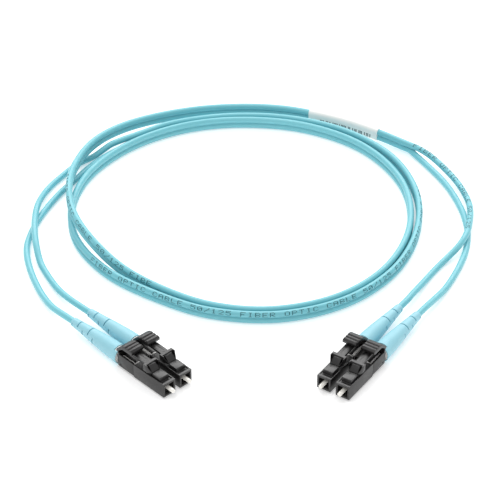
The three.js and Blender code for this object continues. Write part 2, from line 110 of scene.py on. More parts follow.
def geometry_tree(name: str, sockets: dict[str, str]) -> tuple[NodeTree, Node]:
    """Starts a Geometry Nodes tree with named inputs and one geometry output.

    Args:
        name: the tree's name.
        sockets: each input's name and its socket type.

    Returns:
        The tree and its Group Input node.
    """
    tree = bpy.data.node_groups.new(name, "GeometryNodeTree")
    tree.interface.new_socket("Geometry", in_out="INPUT", socket_type="NodeSocketGeometry")
    for label, kind in sockets.items():
        tree.interface.new_socket(label, in_out="INPUT", socket_type=kind)
    tree.interface.new_socket("Geometry", in_out="OUTPUT", socket_type="NodeSocketGeometry")
    return tree, tree.nodes.new("NodeGroupInput")


def close_tree(tree: NodeTree, geometry: NodeSocket, material: NodeSocket) -> None:
    """Ends a Geometry Nodes tree in Realize Instances, Set Material and the output."""
    real = add_node(tree, "GeometryNodeRealizeInstances", inputs={"Geometry": geometry})
    finish = add_node(
        tree, "GeometryNodeSetMaterial", inputs={"Geometry": real.outputs[0], "Material": material},
    )
    add_node(tree, "NodeGroupOutput", inputs={"Geometry": finish.outputs[0]})


def run_tree(tree: NodeTree, base: Object, values: dict[str, object]) -> Mesh:
    """Runs a Geometry Nodes tree on an object and returns the result as a plain mesh.

    Args:
        tree: the tree.
        base: the object that it runs on, which is left without the modifier.
        values: a value for each named input.

    Returns:
        The realized mesh.
    """
    modifier = base.modifiers.new(tree.name, "NODES")
    modifier.node_group = tree
    for item in tree.interface.items_tree:
        if item.item_type == "SOCKET" and item.in_out == "INPUT" and item.name in values:
            modifier[item.identifier] = values[item.name]
    mesh = evaluated_mesh(base)
    base.modifiers.remove(modifier)
    return mesh


def row_tree(name: str) -> tuple[NodeTree, Node, NodeSocket]:
    """Starts a Geometry Nodes tree that sets copies of a piece in a straight row.

    Args:
        name: the tree's name.

    Returns:
        The tree, its Group Input node and the row of copies.
    """
    tree, given = geometry_tree(
        name,
        {
            "Piece": "NodeSocketObject", "Count": "NodeSocketInt", "First": "NodeSocketVector",
            "Pitch": "NodeSocketVector", "Finish": "NodeSocketMaterial",
        },
    )
    piece = add_node(tree, "GeometryNodeObjectInfo", inputs={"Object": given.outputs["Piece"]})
    row = add_node(
        tree,
        "GeometryNodeMeshLine",
        inputs={
            "Count": given.outputs["Count"], "Start Location": given.outputs["First"],
            "Offset": given.outputs["Pitch"],
        },
    )
    copies = add_node(
        tree, "GeometryNodeInstanceOnPoints",
        inputs={"Points": row.outputs[0], "Instance": piece.outputs["Geometry"]},
    )
    return tree, given, copies.outputs[0]


# ---------------------------------------------------------------- mesh helpers


def evaluated_mesh(thing: Object) -> Mesh:
    """Returns an object's mesh with its modifiers applied."""
    bpy.context.view_layer.update()
    graph = bpy.context.evaluated_depsgraph_get()
    return bpy.data.meshes.new_from_object(thing.evaluated_get(graph), depsgraph=graph)


def link_object(name: str, data: ID) -> Object:
    """Puts mesh or curve data into the scene as an object."""
    thing = bpy.data.objects.new(name, data)
    bpy.context.scene.collection.objects.link(thing)
    return thing


def mesh_from(name: str, points: list[Corner], faces: list[Face]) -> Mesh:
    """Makes a mesh from points and faces."""
    mesh = bpy.data.meshes.new(name)
    mesh.from_pydata(points, [], faces)
    mesh.update()
    return mesh


def end_faces(count: int) -> list[Face]:
    """Makes the two end faces of a solid whose ends have the same number of corners."""
    return [tuple(range(count)), tuple(range(2 * count - 1, count - 1, -1))]


def box(low: Corner, high: Corner) -> Mesh:
    """Makes a box from its low and high corners."""
    points = [
        (x, y, z) for x in (low[0], high[0]) for y in (low[1], high[1]) for z in (low[2], high[2])
    ]
    faces = [(0, 1, 3, 2), (4, 6, 7, 5), (0, 4, 5, 1), (2, 3, 7, 6), (0, 2, 6, 4), (1, 5, 7, 3)]
    return mesh_from("box", points, faces)


def prism(outline: Outline, low_y: float, high_y: float) -> Mesh:
    """Extrudes a side outline across the plug.

    Args:
        outline: x and z points, anticlockwise as seen from -Y.
        low_y: the near side.
        high_y: the far side.

    Returns:
        A closed mesh.
    """
    count = len(outline)
    points = [(x, low_y, z) for x, z in outline] + [(x, high_y, z) for x, z in outline]
    faces = end_faces(count)
    for i in range(count):
        j = (i + 1) % count
        faces.append((j, i, i + count, j + count))
    return mesh_from("prism", points, faces)


def lathe(outline: Outline, sides: int) -> Mesh:
    """Turns an outline about the X axis.

    Args:
        outline: points of distance along the axis and radius. It starts and ends on the axis,
            or else is a ring's section that closes on itself.
        sides: how many flats the turn has.

    Returns:
        A closed mesh.
    """
    points: list[Corner] = []
    rings: list[list[int]] = []
    for along, radius in outline:
        if radius == 0:
            rings.append([len(points)] * sides)
            points.append((along, 0, 0))
            continue
        rings.append(list(range(len(points), len(points) + sides)))
        for i in range(sides):
            angle = 2 * math.pi * i / sides
            points.append((along, radius * math.cos(angle), radius * math.sin(angle)))
    solid = outline[0][1] == 0
    spans = len(rings) - 1 if solid else len(rings)
    faces: list[Face] = []
    for k in range(spans):
        here, there = rings[k], rings[(k + 1) % len(rings)]
        for i in range(sides):
            j = (i + 1) % sides
            corners = [here[i], here[j], there[j], there[i]]
            face = tuple(dict.fromkeys(corners))
            if len(face) > 2:
                faces.append(face)
    return outward(mesh_from("lathe", points, faces))


def outward(mesh: Mesh) -> Mesh:
    """Turns a closed mesh's faces outwards."""
    shape = bmesh.new()
    shape.from_mesh(mesh)
    bmesh.ops.remove_doubles(shape, verts=shape.verts, dist=1e-6)
    bmesh.ops.recalc_face_normals(shape, faces=shape.faces)
    shape.to_mesh(mesh)
    shape.free()
    return mesh


class Join(Enum):
    """How one solid meets another."""

    ADD = "UNION"
    CUT = "DIFFERENCE"


def combine(base: Mesh, steps: list[tuple[Join, Mesh]]) -> Mesh:
    """Adds solids to a solid and cuts others from it, in order.

    Args:
        base: the solid to start from.
        steps: each join and its solid.

    Returns:
        The resulting solid.
    """
    for join, tool in steps:
        body = link_object("body", base)
        cutter = link_object("cutter", tool)
        modifier = body.modifiers.new("join", "BOOLEAN")
        modifier.operation = join.value
        modifier.solver = "EXACT"
        modifier.object = cutter
        base = evaluated_mesh(body)
        bpy.data.objects.remove(body)
        bpy.data.objects.remove(cutter)
    return base


def softened(mesh: Mesh, radius: float, angle: float = 35) -> Mesh:
    """Rounds a moulded solid's edges.

    Args:
        mesh: the solid, in millimetres.
        radius: the edge radius, in millimetres.
        angle: edges sharper than this many degrees are rounded.

    Returns:
        The rounded solid.
    """
    body = link_object("body", outward(mesh))
    modifier = body.modifiers.new("round", "BEVEL")
    modifier.width = radius
    modifier.segments = 2
    modifier.limit_method = "ANGLE"
    modifier.angle_limit = math.radians(angle)
    modifier.use_clamp_overlap = True
    rounded = evaluated_mesh(body)
    bpy.data.objects.remove(body)
    return rounded


def arc(
    middle: tuple[float, float], radius: float, start: float, end: float, steps: int
) -> Outline:
    """Points of a circle's arc in an outline, from one angle in degrees to another."""
    angles = [math.radians(start + (end - start) * i / steps) for i in range(steps + 1)]
    return [(middle[0] + radius * math.cos(a), middle[1] + radius * math.sin(a)) for a in angles]


# ---------------------------------------------------------------- finishes


@dataclass(frozen=True)
class Surface:
    """What every solid finish shares: a colour that drifts a little, a grain and a gloss.

    Sizes are in millimetres. The grain is the texture that the tool or die leaves, and the
    drift is the slow change of tone across a moulding or along an extrusion.
    """

    name: str
    colour: str
    drift_colour: str
    roughness: float
    roughness_spread: float
    grain: float
    grain_depth: float
    drift: float
    metallic: float = 0.0
    ior: float = 1.5
    coat: float = 0.0
    scatter: float = 0.0

    def material(self) -> Material:
        """Builds the finish's material."""
        made = bpy.data.materials.new(self.name)
        made.use_nodes = True
        tree = made.node_tree
        tree.nodes.clear()
        place = add_node(tree, "ShaderNodeTexCoord")
        drift = add_node(
            tree, "ShaderNodeTexNoise",
            inputs={
                "Vector": place.outputs["Object"], "Scale": 1 / (self.drift * MM), "Detail": 3.0,
            },
        )
        tone = add_node(
            tree, "ShaderNodeMix", settings={"data_type": "RGBA"},
            inputs={0: drift.outputs["Fac"], 6: linear(self.colour), 7: linear(self.drift_colour)},
        )
        grain = add_node(
            tree,
            "ShaderNodeTexNoise",
            inputs={
                "Vector": place.outputs["Object"], "Scale": 1 / (self.grain * MM), "Detail": 4.0,
                "Roughness": 0.6,
            },
        )
        gloss = add_node(
            tree,
            "ShaderNodeMapRange",
            inputs={
                "Value": grain.outputs["Fac"], "From Min": 0.3, "From Max": 0.7,
                "To Min": self.roughness - self.roughness_spread,
                "To Max": self.roughness + self.roughness_spread,
            },
        )
        bump = add_node(
            tree, "ShaderNodeBump",
            inputs={
                "Height": grain.outputs["Fac"], "Distance": self.grain_depth * MM, "Strength": 1.0,
            },
        )
        shader = add_node(
            tree,
            "ShaderNodeBsdfPrincipled",
            inputs={
                "Base Color": tone.outputs[2], "Roughness": gloss.outputs["Result"],
                "Normal": bump.outputs["Normal"], "Metallic": self.metallic, "IOR": self.ior,
                "Coat Weight": self.coat, "Coat Roughness": 0.25, "Subsurface Weight": self.scatter,
                "Subsurface Radius": (1.0, 1.0, 1.0), "Subsurface Scale": 0.6 * MM,
            },
        )
        add_node(tree, "ShaderNodeOutputMaterial", inputs={"Surface": shader.outputs[0]})
        return made


# Polybutylene terephthalate, spark-eroded tool: a fine even grain that scatters light to grey.
BLACK_PBT = Surface(
    "black_pbt_moulded", "#121213", "#191717", 0.36, 0.07, 0.16, 0.012, 3.0, ior=1.56
)
# The same polymer unpigmented and filled white: a smooth, slightly warm satin.
WHITE_PBT = Surface(
    "white_pbt_moulded", "#fbfbf9", "#f6f5f1", 0.34, 0.05, 0.3, 0.006, 4.0, ior=1.56, scatter=0.15
)
# Thermoplastic elastomer: soft satin with a faint bloom, and light enters it a little.
AQUA_ELASTOMER = Surface(
    "aqua_elastomer_boot", "#98cedb", "#8ec7d5", 0.48, 0.06, 0.35, 0.012, 5.0, ior=1.5, scatter=0.12
)
# Extruded PVC: the die leaves a low gloss and faint ripples along the run.
AQUA_PVC = Surface(
    "aqua_pvc_jacket", "#78c4cf", "#6ebcc8", 0.4, 0.06, 0.6, 0.014, 12.0, ior=1.53, scatter=0.08
)
# Yttria zirconia, ground and lapped: dense white with a glassy polish.
ZIRCONIA = Surface(
    "zirconia_ground", "#f7f5ef", "#f1eee6", 0.14, 0.03, 0.08, 0.001, 2.0, ior=2.1, scatter=0.1
)
# Optical fibre core and epoxy at the ferrule's end: a small dark glassy dot.
FIBRE_GLASS = Surface(
    "fibre_glass_end", "#4a5054", "#3f464b", 0.1, 0.02, 0.05, 0.0005, 1.0, ior=1.46
)
# Drawn and tumbled steel: fine scratches and a soft metallic sheen.
DRAWN_STEEL = Surface(
    "drawn_steel", "#b9bcc0", "#a9acb1", 0.3, 0.06, 0.12, 0.003, 2.0, metallic=1.0
)
# Nickel-plated brass sleeve: warm metal with a crimped, slightly uneven gloss.
PLATED_BRASS = Surface(
    "plated_brass_crimp", "#c9b98f", "#b8a77c", 0.34, 0.06, 0.2, 0.004, 2.0, metallic=1.0
)
# Nylon tight buffer on the fibre: smooth and milky.
NYLON_BUFFER = Surface(
    "nylon_buffer", "#e6eef0", "#dbe6e8", 0.4, 0.05, 0.3, 0.003, 3.0, scatter=0.2
)
# Matt vinyl label film wrapped round the cord.
VINYL_FILM = Surface(
    "vinyl_label_film", "#f6f6f4", "#efefec", 0.55, 0.05, 0.25, 0.004, 6.0
)
# Ink-jet jacket ink: thin, matt and dark teal where the jacket shows through.
JACKET_INK = Surface("jacket_ink", "#17525c", "#23636d", 0.6, 0.08, 0.1, 0.002, 1.5)
# Thermal transfer print on the label: soft grey.
LABEL_INK = Surface("label_ink", "#5d6c72", "#77858b", 0.6, 0.06, 0.1, 0.001, 2.0)

FINISHES = [
    BLACK_PBT, WHITE_PBT, AQUA_ELASTOMER, AQUA_PVC, ZIRCONIA, FIBRE_GLASS,
    DRAWN_STEEL, PLATED_BRASS, NYLON_BUFFER, VINYL_FILM, JACKET_INK, LABEL_INK,
]
MATERIALS = {finish.name: finish.material() for finish in FINISHES}


def dress(mesh: Mesh, finish: Surface) -> Mesh:
    """Gives a mesh one finish and smooth shading that breaks at its edges."""
    mesh.materials.clear()
    mesh.materials.append(MATERIALS[finish.name])
    mesh.shade_smooth()
    mesh.set_sharp_from_angle(angle=math.radians(38))
    return mesh


# ---------------------------------------------------------------- simplex plug


@dataclass
class PlugPlace:
    """Where one simplex plug stands, read from the frame's joints."""

    side: str
    channel: str

    def matrix(self) -> Matrix:
        """Finds the plug frame in the model's frame, from millimetres to metres.

        Returns:
            The plug frame, read from the slide joint of this plug's ferrule.
        """
        name = self.named("ferrule_slide")
        joint = next(j for j in frame["joints"] if j["name"] == name)
        forward = -Vector(joint["axis"]).normalized()
        across = UP.cross(forward)
        turn = Matrix((forward, across, UP)).transposed().to_4x4()
        return Matrix.Translation(Vector(joint["pos_m"])) @ turn @ Matrix.Scale(MM, 4)

    def named(self, piece: str) -> str:
        """A piece's full node name at this plug."""
        return f"{piece}_{self.side}_{self.channel}"


@dataclass
class SimplexPlug:
    """One simplex plug's shapes, in millimetres in the plug frame."""

    half: float = 2.25
    length: float = 13.0
    wall: float = 0.6
    recess: float = 2.6
    partition: float = 0.7
    rim: float = 0.34
    deck_drop: float = 0.4
    ferrule_radius: float = 0.625
    ferrule_back: float = -4.5
    ferrule_front: float = 2.0
    ferrule_chamfer: float = 0.2
    root_front: float = -2.1
    root_length: float = 3.3
    root_half: float = 1.6
    root_top: float = 3.15
    latch_front: float = -5.7
    latch_back: float = -14.7
    latch_low: float = 2.55
    latch_under: float = 3.9
    latch_top: float = 4.6
    latch_half: float = 1.25
    bar_front: float = -7.05
    bar_back: float = -8.6
    bar_top: float = 5.05
    trigger_back: float = -20.3
    trigger_front: float = -13.4
    trigger_foot: float = 3.03
    trigger_under: float = 4.9
    trigger_top: float = 6.2
    rib_count: int = 3
    rib_radius: float = 0.52
    rib_pitch: float = 1.25
    collar_front: float = -20.6
    collar_back: float = -21.8
    collar_radius: float = 2.62
    cuff_radius: float = 2.84
    shank_radius: float = 1.6
    nose_front: float = -10.8
    barrel_radius: float = 1.25
    barrel_back: float = -26.4
    rear_bore: float = 0.91
    boot_front: float = -21.84
    boot_back: float = -42.08
    boot_radius: float = 2.75
    boot_middle: float = 2.06
    boot_middle_at: float = -33.3
    boot_tip: float = 1.36
    cuff_front: float = -20.42
    cuff_open: float = 2.15
    jacket_radius: float = 1.0
    boot_bore: float = 1.62
    boot_step: float = -28.6
    slits_below: tuple[int, ...] = (-90, 116, 0, 3)
    slits_above: tuple[int, ...] = (90, 70, 1, 2)
    slit_first: float = -41.45
    slit_pitch: float = 2.5
    slit_width: float = 0.42
    spring_radius: float = 1.1
    spring_wire: float = 0.3
    spring_front: float = -5.21
    spring_back: float = -10.57

    def ferrule(self) -> Mesh:
        """Ground ceramic rod with a chamfered nose and a slightly domed end."""
        radius, front = self.ferrule_radius, self.ferrule_front
        tip = radius - self.ferrule_chamfer
        outline = [
            (self.ferrule_back, 0), (self.ferrule_back, radius - 0.08),
            (self.ferrule_back + 0.08, radius), (front - self.ferrule_chamfer * 1.6, radius),
            (front - self.ferrule_chamfer * 0.6, radius - self.ferrule_chamfer * 0.5),
            (front - 0.03, tip), (front - 0.008, tip * 0.6), (front, 0),
        ]
        return dress(lathe(outline, 48), ZIRCONIA)

    def fibre_dot(self) -> Mesh:
        """Dark end of the glass fibre in the middle of the ferrule's end face."""
        front = self.ferrule_front
        outline = [(front - 0.2, 0), (front - 0.2, 0.07), (front + 0.004, 0.07), (front + 0.004, 0)]
        return dress(lathe(outline, 16), FIBRE_GLASS)

    def housing(self) -> Mesh:
        """Square plug shell: front recess, sunk deck between side rims, and the latch's root."""
        half, back = self.half, -self.length
        inner = half - self.wall
        deck = half - self.deck_drop
        gutter = half - self.rim
        root_back = self.root_front - self.root_length
        root = prism(
            [
                (root_back, deck - 0.1), (self.root_front + 0.12, deck - 0.1),
                (self.root_front, self.root_top - 0.1), (self.root_front - 0.12, self.root_top),
                (root_back, self.root_top),
            ],
            -self.root_half,
            self.root_half,
        )
        cavity_front = -self.recess - self.partition
        bore = self.ferrule_radius + 0.24
        passage = [(cavity_front - 1, 0), (cavity_front - 1, bore), (0.5, bore), (0.5, 0)]
        return combine(
            box((back, -half, -half), (0, half, half)),
            [
                (
                    Join.CUT,
                    box((back - 1, -gutter, deck), (self.root_front + 1.2, gutter, half + 1)),
                ),
                (Join.ADD, root),
                (Join.CUT, box((-self.recess, -inner, -inner), (1, inner, inner))),
                (Join.CUT, box((back - 1, -inner, -inner), (cavity_front, inner, inner - 0.3))),
                (Join.CUT, lathe(passage, 40)),
            ],
        )

    def latch(self) -> Mesh:
        """Latch arm: a sunk ramp that widens up to the locking bar, then the thin tail."""
        low, under, top = self.latch_low, self.latch_under, self.latch_top
        foot, bar_front, bar_back = self.latch_front, self.bar_front, self.bar_back
        arm = prism(
            [
                (self.latch_back, under + 0.15), (bar_back - 0.4, under), (bar_back, low + 0.35),
                (bar_front, low), (foot, low), (foot, low + 0.5), (bar_front - 0.2, top),
                (self.latch_back + 0.3, top + 0.12), (self.latch_back, top),
            ],
            -self.latch_half,
            self.latch_half,
        )
        ramp = self.wedge(foot - 0.12, low + 0.58, self.root_half, self.bar_top, self.half, 0.0)
        panel = self.wedge(
            foot - 0.34, low + 0.72, self.root_half - 0.2, self.bar_top - 0.12,
            self.half - 0.26, 0.5,
        )
        groove = box((self.latch_back + 0.9, -0.4, top + 0.04), (bar_back - 0.9, 0.4, top + 1))
        panel.transform(Matrix.Translation((0.42, 0, 0.3)))
        return combine(ramp, [(Join.CUT, panel), (Join.ADD, arm), (Join.CUT, groove)])

    def wedge(
        self, foot: float, low: float, foot_half: float, high: float, half: float, lean: float
    ) -> Mesh:
        """Makes the ramp's block, narrow at its foot and as wide as the plug at its top.

        Args:
            foot: how far forward the ramp starts.
            low: the height of its foot.
            foot_half: half the foot's width.
            high: the height of its top edge.
            half: half the top's width.
            lean: how much further forward its back stands.

        Returns:
            A closed block.
        """
        back = self.bar_back + lean
        points = [
            (x, y, z)
            for y_side in (-1, 1)
            for x, y, z in (
                (foot, y_side * foot_half, low - 0.5), (foot, y_side * foot_half, low),
                (self.bar_front, y_side * half, high), (back, y_side * half, high),
                (back, y_side * half, low - 0.2), (self.bar_front, y_side * half, low - 0.35),
            )
        ]
        faces: list[Face] = [(0, 1, 2, 5), (5, 2, 3, 4), (6, 11, 8, 7), (11, 10, 9, 8)]
        faces += [(i, i + 6, (i + 1) % 6 + 6, (i + 1) % 6) for i in range(6)]
        return outward(mesh_from("wedge", points, faces))

    def trigger_pad(self) -> Mesh:
        """Thumb pad on its spine, rounded over at the rear and undercut at the front."""
        back, front = self.trigger_back, self.trigger_front
        under, top, foot = self.trigger_under, self.trigger_top, self.trigger_foot
        outline = [
            (back, foot), (back + 1.0, foot), (back + 1.0, foot + 0.4), (back + 1.3, foot + 0.9),
            (back + 1.9, under - 0.6), (back + 2.3, under - 0.2), (back + 2.8, under),
            (front - 0.35, under), (front, under + 0.3), (front, top - 0.4),
            *arc((front - 0.35, top - 0.35), 0.35, 0, 90, 3),
            (back + 3.1, top), (back + 2.7, top - 0.08), (back + 2.3, top - 0.28),
            (back + 1.9, top - 0.56), (back + 1.5, top - 0.92), (back + 1.1, top - 1.3),
            (back + 0.7, top - 1.68), (back + 0.35, top - 2.05), (back + 0.08, foot + 0.75),
        ]
        return prism(outline, -self.half, self.half)

    def trigger_tree(self) -> NodeTree:
        """Geometry Nodes tree that lays the grip ribs in a row on a trigger pad."""
        tree, given, ribs = row_tree("grip_ribs")
        whole = add_node(tree, "GeometryNodeJoinGeometry")
        tree.links.new(given.outputs["Geometry"], whole.inputs[0])
        tree.links.new(ribs, whole.inputs[0])
        close_tree(tree, whole.outputs[0], given.outputs["Finish"])
        return tree

    def trigger(self) -> Mesh:
        """Trigger with its cross ribs."""
        pad = link_object("pad", softened(self.trigger_pad(), 0.12))
        radius = self.rib_radius
        profile = arc((0, 0), radius, 0, 180, 8)
        rib_mesh = softened(prism(profile, -self.half + 0.12, self.half - 0.12), 0.08, 50)
        rib = link_object("rib", rib_mesh)
        values = {
            "Piece": rib,
            "Count": self.rib_count,
            "First": (self.trigger_front - 0.72, 0, self.trigger_top - radius + 0.3),
            "Pitch": (-self.rib_pitch, 0, 0),
            "Finish": MATERIALS[BLACK_PBT.name],
        }
        mesh = run_tree(self.trigger_tree(), pad, values)
        bpy.data.objects.remove(pad)
        bpy.data.objects.remove(rib)
        return dress(mesh, BLACK_PBT)

    def rear_body(self) -> Mesh:
        """White rear body: nose, square shank inside the clip, rounded collar and barrel."""
        edge = 0.18
        front, back, radius = self.collar_front, self.collar_back, self.collar_radius
        outline = [
            (self.nose_front, self.rear_bore), (self.nose_front, self.shank_radius),
            (front, self.shank_radius), (front, radius - edge),
            *[(front - edge + edge * math.cos(a), radius - edge + edge * math.sin(a))
              for a in (math.radians(d) for d in (30, 60, 90))],
            (back + edge, radius), (back + edge * 0.3, radius - edge * 0.3), (back, radius - edge),
            (back, self.barrel_radius), (self.barrel_back, self.barrel_radius),
            (self.barrel_back, self.rear_bore),
        ]
        core = lathe(outline, 64)
        half = self.shank_radius - 0.1
        shank = softened(box((-18.9, -half, -half), (-13.9, half, half + 0.1)), 0.3)
        bore = [(-19.5, 0), (-19.5, 1.2), (-13, 1.2), (-13, 0)]
        shank = combine(shank, [(Join.CUT, lathe(bore, 32))])
        return combine(core, [(Join.ADD, shank)])

    def slit_cutter(self, middle: float, spread: float) -> Mesh:
        """One slit's cutter: a thin part-ring round a boot, clear of the jacket inside.

        Args:
            middle: the angle of the slit's middle, in degrees, 90 being the top.
            spread: how far it reaches on each side of that.

        Returns:
            The cutter.
        """
        inner, outer, steps = 1.12, 4.0, 14
        width = self.slit_width
        ring: Outline = []
        for radius, order in ((outer, 1), (inner, -1)):
            ring += arc((0, 0), radius, middle - spread * order, middle + spread * order, steps)
        count = len(ring)
        points = [(0.0, y, z) for y, z in ring] + [(width, y, z) for y, z in ring]
        faces: list[Face] = []
        for i in range(count // 2 - 1):
            j = count - 1 - i
            faces.append((i, i + 1, j - 1, j))
            faces.append((j + count, j - 1 + count, i + 1 + count, i + count))
        for i in range(count):
            j = (i + 1) % count
            faces.append((i, i + count, j + count, j))
        return outward(mesh_from("slit", points, faces))

    def slit_tree(self) -> NodeTree:
        """Geometry Nodes tree that cuts a row of slits into a boot."""
        tree, given, cutters = row_tree("boot_slits")
        real = add_node(tree, "GeometryNodeRealizeInstances", inputs={0: cutters})
        cut = add_node(tree, "GeometryNodeMeshBoolean", {"operation": "DIFFERENCE"})
        tree.links.new(given.outputs["Geometry"], cut.inputs["Mesh 1"])
        tree.links.new(real.outputs[0], cut.inputs["Mesh 2"])
        close_tree(tree, cut.outputs["Mesh"], given.outputs["Finish"])
        return tree

    def boot(self) -> Mesh:
        """Tapered boot with slits from below and above, and a cuff that is open at the top."""
        front, back, wide = self.boot_front, self.boot_back, self.boot_radius
        wide_bore, narrow_bore, step = self.boot_bore, self.jacket_radius + 0.04, self.boot_step
        outline = [
            (front, wide_bore), (front, wide - 0.12), (front - 0.14, wide),
            (front - 3.0, wide - 0.05),
            (front - 6.5, wide - 0.26), (self.boot_middle_at, self.boot_middle),
            (self.boot_middle_at - 4.5, self.boot_middle - 0.42), (back + 0.5, self.boot_tip),
            (back + 0.16, self.boot_tip - 0.06), (back, self.boot_tip - 0.2), (back, narrow_bore),
            (step, narrow_bore), (step, wide_bore),
        ]
        cuff = [
            (front - 0.3, self.collar_radius + 0.02), (front - 0.3, self.cuff_radius - 0.1),
            (front, self.cuff_radius), (self.cuff_front - 0.1, self.cuff_radius),
            (self.cuff_front, self.cuff_radius - 0.1), (self.cuff_front, self.collar_radius + 0.02),
        ]
        opening = box((front, -4, self.cuff_open), (self.cuff_front + 1, 4, 4))
        ring = combine(lathe(cuff, 64), [(Join.CUT, opening)])
        body = link_object("boot", combine(lathe(outline, 64), [(Join.ADD, ring)]))
        for middle, spread, first, count in (self.slits_below, self.slits_above):
            cutter = link_object("cutter", self.slit_cutter(middle, spread))
            values = {
                "Piece": cutter,
                "Count": count,
                "First": (self.slit_first + first * self.slit_pitch, 0, 0),
                "Pitch": (2 * self.slit_pitch, 0, 0),
                "Finish": MATERIALS[AQUA_ELASTOMER.name],
            }
            body.data = run_tree(self.slit_tree(), body, values)
            bpy.data.objects.remove(cutter)
        mesh = body.data
        bpy.data.objects.remove(body)
        return dress(mesh, AQUA_ELASTOMER)

    def spring(self) -> Mesh:
        """Coil spring round the flange's tail, with closed ends."""
        tree, given = geometry_tree(
            "coil_spring",
            {
                "Radius": "NodeSocketFloat", "Wire": "NodeSocketFloat", "Length": "NodeSocketFloat",
                "Turns": "NodeSocketFloat", "Finish": "NodeSocketMaterial",
            },
        )
        coil = add_node(
            tree,
            "GeometryNodeCurveSpiral",
            inputs={
                "Resolution": 28, "Rotations": given.outputs["Turns"],
                "Start Radius": given.outputs["Radius"], "End Radius": given.outputs["Radius"],
                "Height": given.outputs["Length"],
            },
        )
        wire = add_node(
            tree, "GeometryNodeCurvePrimitiveCircle",
            inputs={"Resolution": 10, "Radius": given.outputs["Wire"]},
        )
        solid = add_node(
            tree, "GeometryNodeCurveToMesh",
            inputs={"Curve": coil.outputs[0], "Profile Curve": wire.outputs[0], "Fill Caps": True},
        )
        laid = add_node(
            tree,
            "GeometryNodeTransform",
            inputs={
                "Geometry": solid.outputs[0], "Translation": (self.spring_back, 0, 0),
                "Rotation": (0, math.radians(90), 0),
            },
        )
        close_tree(tree, laid.outputs[0], given.outputs["Finish"])
        base = link_object("coil", mesh_from("coil", [], []))
        values = {
            "Radius": self.spring_radius,
            "Wire": self.spring_wire / 2,
            "Length": self.spring_front - self.spring_back,
            "Turns": 5.0,
            "Finish": MATERIALS[DRAWN_STEEL.name],
        }
        mesh = run_tree(tree, base, values)
        bpy.data.objects.remove(base)
        return dress(outward(mesh), DRAWN_STEEL)

    def shapes(self) -> dict[str, Mesh]:
        """Builds each shape of a plug once.

        Returns:
            Each shape's mesh by its piece name, in the plug frame.
        """
        return {
            "ferrule": self.ferrule(),
            "fibre_end": self.fibre_dot(),
            "ferrule_spring": self.spring(),
            "plug_housing": dress(softened(self.housing(), 0.09), BLACK_PBT),
            "latch_arm": dress(softened(self.latch(), 0.08), BLACK_PBT),
            "trigger": self.trigger(),
            "rear_body": dress(self.rear_body(), WHITE_PBT),
            "boot": self.boot(),
        }


# The body that each plug piece rides on, and the record's material slot.
PLUG_PIECES = {
    "ferrule": ("ferrule", "zirconia"),
    "fibre_end": ("ferrule", "zirconia"),
    "ferrule_spring": ("root", "steel"),
    "plug_housing": ("root", "black_plastic"),
    "latch_arm": ("latch", "black_plastic"),
    "trigger": ("trigger", "black_plastic"),
    "rear_body": ("root", "white_plastic"),
    "boot": ("root", "aqua_rubber"),
}
CARRIED_OVER = {
    "ferrule_flange": DRAWN_STEEL,
    "crimp_sleeve": PLATED_BRASS,
    "buffered_fibre": NYLON_BUFFER,
    "jacket_end": AQUA_PVC,
}


